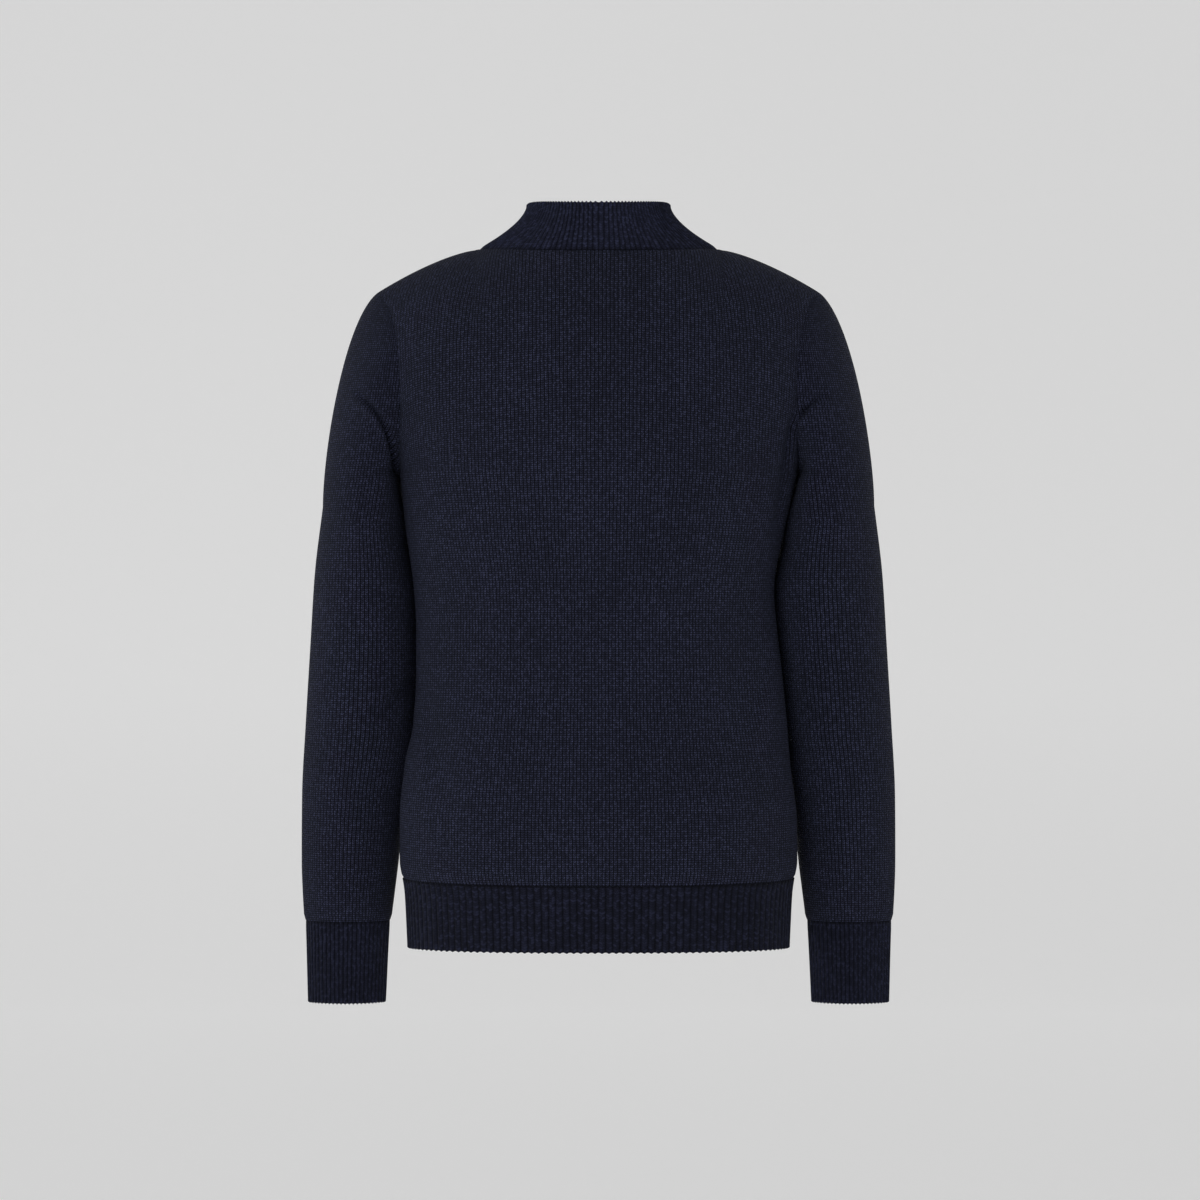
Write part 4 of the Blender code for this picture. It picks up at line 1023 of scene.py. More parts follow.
def yarn_look(name, colour, yarn, relief, counts_look, seam_course=None):
    """Navy yarn with a pattern of stitches, a little uneven from stitch to stitch and from place
    to place. counts_look gives the stitches' height, their chance and how light they are painted:
    painted shade in the grooves and a painted highlight on the crowns. seam_course is the course
    that is painted in the shade of a seam."""
    look = Look(
        name, colour, yarn.roughness, Sheen_Weight=yarn.sheen, Sheen_Roughness=0.45,
        Specular_IOR_Level=0.08, Sheen_Tint=SHEEN_TINT,
    )
    wale, course = look.counts()
    place = look.place()
    height, chance, light = counts_look(look, wale, course, place)
    drift = look.noise(place, YARN_CLOUDS, 3.0)
    fuzz = look.noise(place, YARN_FUZZ)
    # Painted glints: a few stitches are painted lighter, as if they caught the light
    painted_glint = chance * chance * chance * yarn.painted_glint
    tone = light * (LEAST_TONE + drift * CLOUD_TONE) * (LEAST_TONE + chance * STITCH_TONE + painted_glint)
    # Painted shade: the yarn is painted darker next to the seam
    if seam_course is not None:
        away = (abs(course - seam_course) / SEAM_SHADE_COURSES).at_most(1.0)
        tone = tone * (away * (1.0 - SEAM_SHADE) + SEAM_SHADE)
    tone = (tone + (fuzz - 0.5) * FUZZ_TONE).at_least(0.0).at_most(1.0)
    # The colour runs from painted shade in the grooves to a painted highlight on the crowns, with
    # random tone between
    look.paint(tone, colour, yarn.groove, yarn.crown)
    look.bumped(height + fuzz * FUZZ_LIFT + chance * STITCH_LIFT, relief * MM)
    return look.material


def plain_counts(look, wale, course, place):
    """The stitches of plain knit: columns of Vs with narrow grooves between the columns, where the
    colour is painted dark as painted shade.
    """
    wander = (look.noise(place, PLAIN_WANDER, 1.0) - 0.5) * PLAIN_STRAY
    height, chance = stitch_relief(look, wale + wander, course + wander, PLAIN_SLANT)
    # How light each point is painted: painted shade towards the grooves
    return height, chance, height**PLAIN_PAINTED_SHADE_POWER


def rib_counts(look, rib, course, place):
    """The stitches of ribbed knit: a column of Vs on each rib's crown, grooves between, with
    painted shade in the grooves and a painted highlight on the crowns.
    """
    wander = (look.noise(place, RIB_WANDER, 1.0) - 0.5) * RIB_STRAY
    height, chance = stitch_relief(look, rib, course + wander, RIB_SLANT)
    top = 1.0 - abs(rib.fraction() - 0.5) * 2.0
    # Painted light: lighter on the stitches and on each rib's crown, painted shade in the grooves
    return height, chance, height * 0.5 + top * 0.15 + 0.1


def knit_look(name, colour, yarn):
    """The plain knit."""
    return yarn_look(name, colour, yarn, yarn.relief, plain_counts)


def rib_look(name, tone, yarn, seam_course):
    """The ribbed knit, whose tone is the share of the yarn's full colour that it shows: painted
    shade that makes the hem and the cuffs darker.
    """
    colour = tuple(part * tone for part in yarn.rib_colour)
    return yarn_look(name, colour, yarn, yarn.relief * RIB_RELIEF, rib_counts, seam_course)


def thread_look(name, colour):
    """Twisted sewing thread."""
    look = Look(name, colour, 0.6, Sheen_Weight=0.3)
    grain = look.noise(look.place(), THREAD_GRAIN)
    look.paint(grain, colour, 0.6, 1.5)
    look.bumped(grain, 0.0001)
    return look.material


def metal_look(name, colour):
    """Darkened zip metal with fine wear."""
    look = Look(name, colour, 0.34, Metallic=1.0)
    place = look.place()
    cloud = look.noise(place, METAL_CLOUDS, 3.0)
    grain = look.noise(place, METAL_GRAIN)
    look.paint(cloud, colour, 0.65, 1.5)
    look.feed("Roughness", grain * 0.25 + 0.22)
    look.bumped(grain, 0.00004, 0.6)
    return look.material


def tape_look(name, colour):
    """Herringbone zip tape, from UVs that count its cords across and its picks along."""
    look = Look(name, colour, 0.8, Sheen_Weight=0.2)
    cord, pick = look.counts()
    zig = abs((cord * 0.25).fraction() - 0.5) * 4.0
    thread = ((pick + zig).fraction() - 0.5) * 2.0
    height = (1.0 - thread * thread) * (cord.wave() * 0.25 + 0.75)
    uneven = look.noise(look.place(), TAPE_GRAIN)
    # The colour follows the weave's height: painted shade between the threads and a painted
    # highlight on them, with random unevenness
    look.paint((height * 0.8 + uneven * 0.3).at_most(1.0), colour, 0.5, 1.4)
    look.bumped(height, 0.0002)
    return look.material


# Ribbed pieces ------------------------------------------------------------------------------------


def crown(place):
    """0 in the grooves between ribs and 1 on their crowns. place counts ribs."""
    return 0.5 - 0.5 * np.cos(math.tau * place)


def ribbed_faces(base, normals, place, ribs, inset, fade):
    """Outer and inner points of ribbed cloth.

    place counts ribs, inset is the ground's depth, and fade the share of the ribs' full height.
    """
    lean = RIB_LEAN * wave_noise(base[..., 0], base[..., 2], ribs.seed, RIB_LEAN_PITCH)
    height = crown(place + lean) ** ribs.fullness
    rise = height * ribs.raise_by * fade - inset
    sunk = inset + RIB_WALL + RIB_BACK * (1.0 - height)
    return base + normals * rise[..., None], base - normals * sunk[..., None]


def scallop(points, place, depth, row):
    """Lets the ribs stand a little past an open edge, and the grooves fall short of it."""
    points[row, :, 2] += depth * crown(place) ** 2.0


def body_line(face, side, height, first_x, steps):
    """Level line round half of the body, from the middle line to its side, evenly spaced."""
    width = body_track[side_name(side)](height)
    depth = body_track[face_name(face)](height)
    start = oval_angle(first_x / width)
    shares = np.linspace(0.0, 1.0, LINE_POINTS)
    sideways, backward = oval_share(start + (math.pi / 2.0 - start) * shares)
    line = stack(side * width * sideways, face * depth * backward, height)
    line[0, 0] = side * first_x
    return resampled(line, np.linspace(0.0, 1.0, steps + 1))


def lowered_sides(points):
    """Lets the lower edge hang a little lower at the sides than on the middle line."""
    down = np.clip((HEM_SEAM - points[..., 2]) / (HEM_SEAM - HEM_EDGE), 0.0, 1.0)
    aside = 1.0 - np.abs(points[..., 1]) / np.abs(points[..., 1]).max()
    points[..., 2] -= HEM_SIDE_DROP * down * aside


def hem_grid(face, sides, ribs, rib_count, rows):
    """Rows of points of a length of welt, and each column's place in ribs."""
    steps = rib_count * ribs.steps // len(sides)
    levels = edge_levels(HEM_EDGE, HEM_SEAM, rows)
    first_x = 0.0 if face > 0 else ZIP_HALF_GAP
    halves = {
        side: np.array([body_line(face, side, z, first_x, steps) for z in levels]) for side in sides
    }
    if face > 0:
        grid = np.concatenate((halves[1][:, ::-1], halves[-1][:, 1:]), axis=1)
    elif 1 in sides:
        grid = halves[1]
    else:
        grid = halves[-1][:, ::-1]
    place = np.arange(grid.shape[1]) / ribs.steps
    return grid, place


def collar_top(share):
    """The collar's upper edge, from the middle of the back (0) to the middle of the front (1)."""
    angle = math.pi * share
    power = 2.0 / SQUARENESS
    sideways = np.clip(np.sin(angle), 0.0, 1.0) ** power
    lengthways = np.sign(np.cos(angle)) * np.abs(np.cos(angle)) ** power
    behind = mix(COLLAR_TOP_BACK, COLLAR_TOP_SIDE, smoothstep(share / 0.5))
    before = mix(COLLAR_TOP_SIDE, COLLAR_TOP_FRONT, smoothstep((share - 0.5) / 0.5))
    height = np.where(share < 0.5, behind, before)
    return stack(COLLAR_TOP_HALF_WIDTH * sideways, COLLAR_TOP_HALF_DEPTH * lengthways, height)


def neck_line(side, rises, columns):
    """The neck's seam on one side, from the middle of the back to the zip."""
    back = half_panel(1, side, rises[-1:], columns)[0]
    front = half_panel(-1, side, rises[-1:], columns, ZIP_HALF_GAP)[0]
    back = back[np.abs(back[:, 0]) <= NECK_POINT + SAME_POINT]
    front = front[np.abs(front[:, 0]) < NECK_POINT - SAME_POINT]
    return np.concatenate((back, front[::-1]))


def collar_grid(rises, columns, steps, rows):
    """Rows of the collar from the zip's left side round the back to its right side."""
    shares = np.linspace(0.0, 1.0, steps + 1)
    high = collar_top(shares)
    ups = with_ends(np.linspace(0.0, 1.0, rows), COLLAR_SPAN)[:, None]
    flare = (1.0 - ups) ** COLLAR_FLARE
    halves = {}
    for side in (1, -1):
        low = resampled(neck_line(side, rises, columns), shares)
        top_x = np.where(shares > 0.5, np.maximum(high[:, 0], ZIP_HALF_GAP), high[:, 0])
        halves[side] = stack(
            mix(side * top_x, low[:, 0], flare),
            mix(high[:, 1], low[:, 1], flare),
            mix(low[:, 2], high[:, 2], ups),
        )
    return np.concatenate((halves[1][:, ::-1], halves[-1][:, 1:]), axis=1)


# Zip ----------------------------------------------------------------------------------------------


def row_at_x(row, x):
    """The point of a row of points at a distance from the middle line."""
    order = np.argsort(np.abs(row[:, 0]))
    off = np.abs(row[:, 0])[order]
    return np.array((x, np.interp(x, off, row[order, 1]), np.interp(x, off, row[order, 2])))


def front_lines(rows, x_places, low, high):
    """Lines of points up the inside of the front at some distances from the middle line."""
    lines = np.array([[row_at_x(row, x) for x in x_places] for row in rows])
    heights = lines[:, 0, 2]
    between = heights[(heights > low + LINE_END) & (heights < high - LINE_END)]
    wanted = np.concatenate(((low,), between, (high,)))
    return np.stack([at_places(wanted, heights, line) for line in lines.swapaxes(0, 1)], axis=1)


def square_inward(lines):
    """For each line of points, the direction from the cloth towards the wearer."""
    along = np.gradient(lines[:, 0], axis=0)
    return unit(stack(0.0, along[:, 2], -along[:, 1]))


def tooth_rows(path, inward, side, teeth):
    """Points and faces of one side's teeth, each a small shaped block across the zip."""
    walked = lengths_along(path, 0)
    start = 0.5 * teeth.pitch if side > 0 else teeth.pitch
    places = np.arange(start, walked[-1] - teeth.pitch / 2.0, teeth.pitch)
    outline = np.array(TOOTH, float)
    points, faces = [], []
    for place in places:
        middle = at_places(place, walked, path)
        deep = unit(at_places(place, walked, inward))
        along = unit(np.cross(np.array((1.0, 0.0, 0.0)), deep)) * -1.0
        base = len(points)
        for level, shrink in TOOTH_LEVELS:
            for x, up in outline:
                inset = np.array((side * (1.0 + (x - 1.0) * shrink), 0.0, 0.0))
                points.append(middle * (0, 1, 1) + inset + along * up * shrink + deep * level)
        count = len(outline)
        last = len(points) - count
        block = []
        for low in range(base, last, count):
            high = low + count
            for k in range(count):
                after = (k + 1) % count
                block.append([low + k, low + after, high + after, high + k])
        block.append([base + k for k in range(count)][::-1])
        block.append([last + k for k in range(count)])
        faces += block if side > 0 else [face[::-1] for face in block]
    return np.array(points), faces


def stitch_run(path, out, length, gap, radius):
    """A row of short stitches of sewing thread lying along a line of points."""
    walked = lengths_along(path, 0)
    points, faces = [], []
    for start in np.arange(gap, walked[-1] - length, length + gap):
        base = len(points)
        for share, thick, sink in STITCH_SECTIONS:
            place = start + share * length
            middle = at_places(place, walked, path)
            before = at_places(place - STITCH_REACH, walked, path)
            beyond = at_places(place + STITCH_REACH, walked, path)
            up = at_places(place, walked, out)
            across = unit(np.cross(beyond - before, up))
            for k in range(STITCH_RING):
                turn = math.tau * k / STITCH_RING
                spoke = across * math.cos(turn) + up * math.sin(turn)
                points.append(middle + spoke * radius * thick - up * sink * radius)
        last = len(points) - STITCH_RING
        for low in range(base, last, STITCH_RING):
            high = low + STITCH_RING
            for k in range(STITCH_RING):
                after = (k + 1) % STITCH_RING
                faces.append([low + k, high + k, high + after, low + after])
        faces.append([base + k for k in range(STITCH_RING)])
        faces.append([last + k for k in range(STITCH_RING)][::-1])
    return np.array(points), faces


# Settings -----------------------------------------------------------------------------------------


class KnitSettings(bpy.types.PropertyGroup):
    wale_pitch: bpy.props.FloatProperty(
        name="Wale pitch", description="Width of one column of stitches, in millimetres",
        default=3.52, min=1.0, max=12.0,
    )
    course_pitch: bpy.props.FloatProperty(
        name="Course pitch", description="Height of one row of stitches, in millimetres",
        default=2.15, min=0.8, max=8.0,
    )
    relief: bpy.props.FloatProperty(
        name="Relief", description="How far a stitch stands up, in millimetres",
        default=1.2, min=0.0, max=3.0,
    )
    colour: bpy.props.FloatVectorProperty(
        name="Plain knit", description="Colour of the plain knit",
        subtype="COLOR", size=3, min=0.0, max=1.0, default=(0.0110, 0.0124, 0.0244),
    )
    # The ribbed knit is darker than the plain knit partly by its own colour and partly by painted
    # shade of its deeper grooves
    rib_colour: bpy.props.FloatVectorProperty(
        name="Ribbed knit", description="Colour of the ribbed collar, cuffs and hem",
        subtype="COLOR", size=3, min=0.0, max=1.0, default=(0.0052, 0.0059, 0.0124),
    )
    # Painted shade: how dark the colour is painted between the stitches
    groove: bpy.props.FloatProperty(
        name="Groove shade", description="How light the cloth is between its stitches",
        subtype="FACTOR", default=0.12, min=0.0, max=1.0,
    )
    # Painted highlight: how light the colour is painted on top of the stitches
    crown: bpy.props.FloatProperty(
        name="Crown shade", description="How light the cloth is on top of its stitches",
        default=4.4, min=1.0, max=8.0,
    )
    # Painted glints: how much lighter some stitches are painted
    painted_glint: bpy.props.FloatProperty(
        name="Flecks", description="How much some stitches catch the light more than others",
        default=1.1, min=0.0, max=4.0,
    )
    roughness: bpy.props.FloatProperty(
        name="Roughness", description="Roughness of the yarn",
        subtype="FACTOR", default=0.85, min=0.0, max=1.0,
    )
    sheen: bpy.props.FloatProperty(
        name="Sheen", description="How much the yarn's fuzz lights up at a glancing angle",
        subtype="FACTOR", default=0.03, min=0.0, max=1.0,
    )
    unevenness: bpy.props.FloatProperty(
        name="Unevenness", description="Height of the cloth's soft waves, in millimetres",
        default=0.5, min=0.0, max=3.0,
    )
    rows: bpy.props.IntProperty(
        name="Panel rows", description="Rows of points from the hem to the shoulder",
        default=184, min=40, max=400,
    )
    columns: bpy.props.IntProperty(
        name="Panel columns", description="Columns of points from the middle line to the side",
        default=84, min=20, max=200,
    )
    seam_width: bpy.props.FloatProperty(
        name="Seam width", description="How far from a seam the cloth dips, in millimetres",
        default=4.0, min=0.5, max=10.0,
    )
    seam_depth: bpy.props.FloatProperty(
        name="Seam depth", description="How deep the cloth dips at a seam, in millimetres",
        default=1.3, min=0.0, max=4.0,
    )


class RibSettings(bpy.types.PropertyGroup):
    hem_count: bpy.props.IntProperty(
        name="Hem ribs", description="Ribs round the hem", default=144, min=40, max=400,
    )
    cuff_count: bpy.props.IntProperty(
        name="Cuff ribs", description="Ribs round each cuff", default=50, min=20, max=200,
    )
    collar_count: bpy.props.IntProperty(
        name="Collar ribs", description="Ribs round the collar", default=128, min=40, max=400,
    )
    steps: bpy.props.IntProperty(
        name="Steps a rib", description="Columns of points in one rib", default=8, min=4, max=16,
    )
    raise_by: bpy.props.FloatProperty(
        name="Rib height", description="How far a rib stands out, in millimetres",
        default=1.0, min=0.2, max=3.0,
    )
    fullness: bpy.props.FloatProperty(
        name="Rib fullness", description="Below 1 the ribs are broad and the grooves narrow",
        default=0.75, min=0.2, max=3.0,
    )
    seed: bpy.props.IntProperty(
        name="Seed", description="Starts the slight wander of the ribs", default=7, min=0,
    )


class ZipSettings(bpy.types.PropertyGroup):
    pitch: bpy.props.FloatProperty(
        name="Tooth pitch", description="From one tooth to the next on one side, in millimetres",
        default=2.6, min=1.5, max=6.0,
    )
    tape: bpy.props.FloatVectorProperty(
        name="Tape", description="Colour of the woven tape",
        subtype="COLOR", size=3, min=0.0, max=1.0, default=(0.012, 0.0135, 0.023),
    )
    metal: bpy.props.FloatVectorProperty(
        name="Metal", description="Colour of the teeth and the slider",
        subtype="COLOR", size=3, min=0.0, max=1.0, default=(0.22, 0.22, 0.23),
    )
    thread: bpy.props.FloatVectorProperty(
        name="Thread", description="Colour of the sewing thread",
        subtype="COLOR", size=3, min=0.0, max=1.0, default=(0.016, 0.018, 0.030),
    )
    stitch_length: bpy.props.FloatProperty(
        name="Stitch length", description="Length of a sewing stitch, in millimetres",
        default=2.8, min=1.0, max=6.0,
    )
    stitch_gap: bpy.props.FloatProperty(
        name="Stitch gap", description="Between two sewing stitches, in millimetres",
        default=0.9, min=0.2, max=3.0,
    )
    thread_radius: bpy.props.FloatProperty(
        name="Thread radius", description="Half of the sewing thread's thickness, in millimetres",
        default=0.22, min=0.05, max=1.0,
    )


class StageSettings(bpy.types.PropertyGroup):
    distance: bpy.props.FloatProperty(
        name="Camera distance", description="From the middle of the garment to the camera",
        subtype="DISTANCE", default=3.2, min=1.0, max=20.0,
    )
    lens: bpy.props.FloatProperty(
        name="Lens", description="Focal length, in millimetres on a 36 mm wide film",
        default=100.3, min=20.0, max=300.0,
    )
    aim: bpy.props.FloatVectorProperty(
        name="Aim", description="Where the middle of the picture lies, across and up",
        subtype="TRANSLATION", size=2, default=(-0.0014, -0.335),
    )
    backdrop: bpy.props.FloatVectorProperty(
        name="Backdrop", description="Colour of the floor and the backdrop",
        subtype="COLOR", size=3, min=0.0, max=1.0, default=(0.88, 0.88, 0.88),
    )
    floor: bpy.props.FloatProperty(
        name="Floor", description="Height of the floor", subtype="DISTANCE", default=-1.25,
    )
    sky: bpy.props.FloatProperty(
        name="Fill light", description="Strength of the even light from all round",
        default=0.5, min=0.0, max=5.0,
    )
    glow: bpy.props.FloatProperty(
        name="Backdrop light", description="How brightly the backdrop is lit by its own lamps",
        default=0.155, min=0.0, max=5.0,
    )


# Cloth grids --------------------------------------------------------------------------------------


def cloth_grids(knit):
    """Each plain-knit piece's grid and whether it is a tube, and the body's rows of rises."""
    rises = panel_rises(knit.rows)
    left, right = (half_panel(1, side, rises, knit.columns) for side in (1, -1))
    grids = {"back": (np.concatenate((left[:, ::-1], right[:, 1:]), axis=1), False)}
    for side in (1, -1):
        front = half_panel(-1, side, rises, knit.columns, ZIP_HALF_GAP)
        name = side_name(side)
        grids["front_" + name] = (front if side > 0 else front[:, ::-1], False)
        cap_rows, tube_rows = int(knit.rows * CAP_SHARE), int(knit.rows * TUBE_SHARE)
        grids["sleeve_" + name] = (sleeve_grid(side, rises, cap_rows, tube_rows), True)
    return grids, rises


def shared_normals(grids):
    """Normals of the pieces, averaged where their points meet on a seam."""
    own = {name: grid_normals(grid, closed) for name, (grid, closed) in grids.items()}
    points = np.concatenate([grid.reshape(-1, 3) for grid, _ in grids.values()])
    normals = np.concatenate([own[name].reshape(-1, 3) for name in grids])
    _, place = np.unique(np.round(points + MEETING_SHIFT, 2), axis=0, return_inverse=True)
    place = place.ravel()
    total = np.zeros((place.max() + 1, 3))
    np.add.at(total, place, normals)
    averaged = unit(total)[place]
    result, start = {}, 0
    for name, (grid, _) in grids.items():
        count = grid.shape[0] * grid.shape[1]
        result[name] = averaged[start : start + count].reshape(grid.shape)
        start += count
    return result


# How far the underarm side of each sleeve swells towards the body
Hug = namedtuple("Hug", "height left right")
HUG = (
    Hug(-420.0, 0.0, 0.0), Hug(-330.0, 0.6, 0.0), Hug(-300.0, 1.1, 1.2), Hug(-276.0, 1.6, 2.6),
    Hug(-246.0, 3.2, 4.3), Hug(-230.0, 3.2, 4.1), Hug(-218.0, 2.4, 2.6), Hug(-215.0, 0.6, 0.6),
)


def hug_shift(side, points, normals):
    """How far the underarm side of a sleeve swells to lie against the body."""
    facing = risen(-side * normals[..., 0], HUG_FACING)
    return Track(HUG, side_name(side))(points[..., 2]) * facing * (points[..., 2] < UNDERARM)


# Sewn edges of each piece, and how deep each seam lies as a share of the deepest
SEAMS = {
    "back": {"bottom": 1.0, "top": 1.0, "left": 0.1, "right": 0.1},
    "front_left": {"bottom": 1.0, "top": 1.0, "right": 0.1},
    "front_right": {"bottom": 1.0, "top": 1.0, "left": 0.1},
    "sleeve_left": {"bottom": 0.1, "top": 1.0},
    "sleeve_right": {"bottom": 0.1, "top": 1.0},
}


def knit_faces(name, grids, normals, knit):
    """Outer and inner points of a plain-knit piece, with its creases and its seams."""
    grid, closed = grids[name]
    seams = SEAMS[name]
    uneven = wave_noise(grid[..., 0], grid[..., 2], UNEVEN_SEED, UNEVEN_PITCH)
    uneven = knit.unevenness * uneven * np.abs(normals[name][..., 1])
    shift = crease_shift(name, grid, normals[name]) + uneven
    shift *= edge_fade(grid, closed, seams, CREASE_FADE)
    if closed:
        shift += hug_shift(1 if name == "sleeve_left" else -1, grid, normals[name])
    shift += seam_sink(grid, closed, seams, knit.seam_width, knit.seam_depth)
    outer = grid + normals[name] * shift[..., None]
    inner = outer - normals[name] * WALL
    outer, inner = (drawn_back(points, ("top",), TIGHT_GAP) for points in (outer, inner))
    if not closed:
        outer[0, :, 2] = HEM_SEAM + TIGHT_GAP - SEAM_SLANT
        inner[0, :, 2] = HEM_SEAM + TIGHT_GAP + SEAM_SLANT
        sewn = [edge for edge in ("left", "right") if edge in seams]
        outer, inner = (drawn_back(points, sewn, TIGHT_GAP) for points in (outer, inner))
    if closed:
        for points in (outer, inner):
            points[0, :, 0] += TIGHT_GAP * np.sign(points[0, :, 0])
    elif name != "back":
        zip_column = 0 if name == "front_left" else -1
        for points in (outer, inner):
            points[:, zip_column, 0] = math.copysign(ZIP_HALF_GAP, grid[0, zip_column, 0])
    return outer, inner


def flat_cut(grid, closed):
    """Width, length and area that a piece of cloth was cut or knitted to, in millimetres."""
    width = float(lengths_along(grid, 1, closed)[:, -1].max())
    length = float(lengths_along(grid, 0)[-1].max())
    return width, length, min(surface_area(grid, closed), width * length)


def knit_piece(context, name, grids, rises, normals):
    """One plain-knit piece, with its finish, riding on the garment in its solid's place."""
    knit = context.scene.cardigan_knit
    grid, closed = grids[name]
    outer, inner = knit_faces(name, grids, normals, knit)
    if closed:
        uv = sleeve_uv(1 if name == "sleeve_left" else -1, grid, knit)
    else:
        uv = panel_uv(grid, rises, knit)
    piece = wall_piece("knit_" + name, outer, inner, uv, closed)
    look = knit_look("plain_knit_" + name, knit.colour, knit)
    show_cloth(piece, (name,), flat_cut(grid, closed), look)


def knit_pieces(context, names):
    """Plain-knit pieces by name, whose normals agree where they meet on a seam."""
    grids, rises = cloth_grids(context.scene.cardigan_knit)
    normals = shared_normals(grids)
    for name in names:
        knit_piece(context, name, grids, rises, normals)


def rib_uv(grid, place, closed):
    """Each rib's number across and the count of courses up, for a ribbed piece."""
    up = lengths_along(grid, 0) / RIB_COURSE
    if closed:
        up = np.concatenate((up, up[:, :1]), axis=1)
        place = np.append(place, round(place[-1] + place[1] - place[0], SHARE_DIGITS))
    return np.stack((np.broadcast_to(place, up.shape), up), axis=-1)


def ribbed_piece(context, name, grid, place, outer, inner, closed=False, rim="bottom"):
    """One ribbed piece, with its finish, riding on the garment in its solid's place."""
    knit = context.scene.cardigan_knit
    uv = rib_uv(grid, place, closed)
    piece = wall_piece("rib_" + name, outer, inner, uv, closed, (rim,))
    seam_course = uv[-1 if rim == "bottom" else 0, 0, 1]
    # The piece's painted shade: darker for the hem and the cuffs
    look = rib_look("ribbed_knit_" + name, RIB_PAINTED_SHADES[name.split("_")[0]], knit, seam_course)
    show_cloth(piece, (name,), flat_cut(grid, closed), look)


# Operators ----------------------------------------------------------------------------------------


class CARDIGAN_OT_panels(bpy.types.Operator):
    """Makes the plain-knit back and the left and right fronts"""

    bl_idname = "cardigan.panels"
    bl_label = "Back and fronts"

    def execute(self, context):
        knit_pieces(context, ("back", "front_left", "front_right"))
        return {"FINISHED"}


class CARDIGAN_OT_sleeves(bpy.types.Operator):
    """Makes both plain-knit sleeves"""

    bl_idname = "cardigan.sleeves"
    bl_label = "Sleeves"

    def execute(self, context):
        knit_pieces(context, ("sleeve_left", "sleeve_right"))
        return {"FINISHED"}


class CARDIGAN_OT_hem(bpy.types.Operator):
    """Makes the ribbed welt at the hem, one length for the back and one for each front"""

    bl_idname = "cardigan.hem"
    bl_label = "Hem ribs"

    def execute(self, context):
        ribs = context.scene.cardigan_ribs
        quarter = ribs.hem_count // 4
        lengths = (
            ("hem_back", 1, (1, -1), 2 * quarter, ("left", "right")),
            ("hem_front_left", -1, (1,), quarter, ("right",)),
            ("hem_front_right", -1, (-1,), quarter, ("left",)),
        )
        for name, face, sides, count, seams in lengths:
            grid, place = hem_grid(face, sides, ribs, count, HEM_ROWS)
            normals = grid_normals(grid, False)
            outer, inner = ribbed_faces(grid, normals, place, ribs, WALL - RIB_WALL, HEM_RIB_SHARE)
            for points, slant in ((outer, -SEAM_SLANT), (inner, SEAM_SLANT)):
                scallop(points, place, SCALLOP, 0)
                points[-1, :, 2] = HEM_SEAM - TIGHT_GAP + slant
                lowered_sides(points)
                if face < 0:
                    zip_column = 0 if sides == (1,) else -1
                    points[:, zip_column, 0] = math.copysign(ZIP_HALF_GAP, sides[0])
            outer = drawn_back(outer, seams, TIGHT_GAP + face * SEAM_SLANT)
            inner = drawn_back(inner, seams, TIGHT_GAP - face * SEAM_SLANT)
            ribbed_piece(context, name, grid, place, outer, inner)
        return {"FINISHED"}


class CARDIGAN_OT_cuffs(bpy.types.Operator):
    """Makes the ribbed cuff on each sleeve"""

    bl_idname = "cardigan.cuffs"
    bl_label = "Cuffs"

    def execute(self, context):
        ribs = context.scene.cardigan_ribs
        steps = ribs.cuff_count * ribs.steps
        levels = edge_levels(CUFF_EDGE, CUFF_SEAM, CUFF_ROWS)
        place = np.arange(steps) / ribs.steps
        from_seam = smoothstep((levels[-1] - levels) / CUFF_SEAM_REACH)
        fade = CUFF_RIB_SHARE * mix(CUFF_SEAM_RIB, 1.0, from_seam)[:, None]
        inset = WALL - RIB_WALL + CUFF_STEP_IN
        for side in (1, -1):
            angles = side * math.tau * np.linspace(0.0, 1.0, RING_POINTS)
            grid = np.array([
                resampled(sleeve_points(side, angles, z), np.arange(steps) / steps) for z in levels
            ])
            normals = grid_normals(grid, True)
            outer, inner = ribbed_faces(grid, normals, place, ribs, inset, fade)
            for points in (outer, inner):
                scallop(points, place, SCALLOP, 0)
            ribbed_piece(context, "cuff_" + side_name(side), grid, place, outer, inner, closed=True)
        return {"FINISHED"}


class CARDIGAN_OT_collar(bpy.types.Operator):
    """Makes the ribbed standing collar, open at the centre front"""

    bl_idname = "cardigan.collar"
    bl_label = "Collar"

    def execute(self, context):
        knit, ribs = context.scene.cardigan_knit, context.scene.cardigan_ribs
        steps = ribs.collar_count // 2 * ribs.steps
        grid = collar_grid(panel_rises(knit.rows), knit.columns, steps, COLLAR_ROWS)
        place = np.arange(grid.shape[1]) / ribs.steps
        up = lengths_along(grid, 0)
        share = up / up[-1:]
        base = 1.0 - smoothstep(up / COLLAR_BASE)
        fade = 1.0 - (1.0 - COLLAR_BASE_RIB) * base
        inset = WALL - RIB_WALL + knit.seam_depth * base * (share < 1.0)
        outer, inner = ribbed_faces(grid, grid_normals(grid, False), place, ribs, inset, fade)
        for points in (outer, inner):
            scallop(points, place, -SCALLOP, -1)
            points[:, 0, 0], points[:, -1, 0] = ZIP_HALF_GAP, -ZIP_HALF_GAP
        outer = drawn_back(outer, ("bottom",), COLLAR_SEAM_GAP)
        inner = drawn_back(inner, ("bottom",), COLLAR_SEAM_GAP)
        ribbed_piece(context, "collar", grid, place, outer, inner, rim="top")
        return {"FINISHED"}


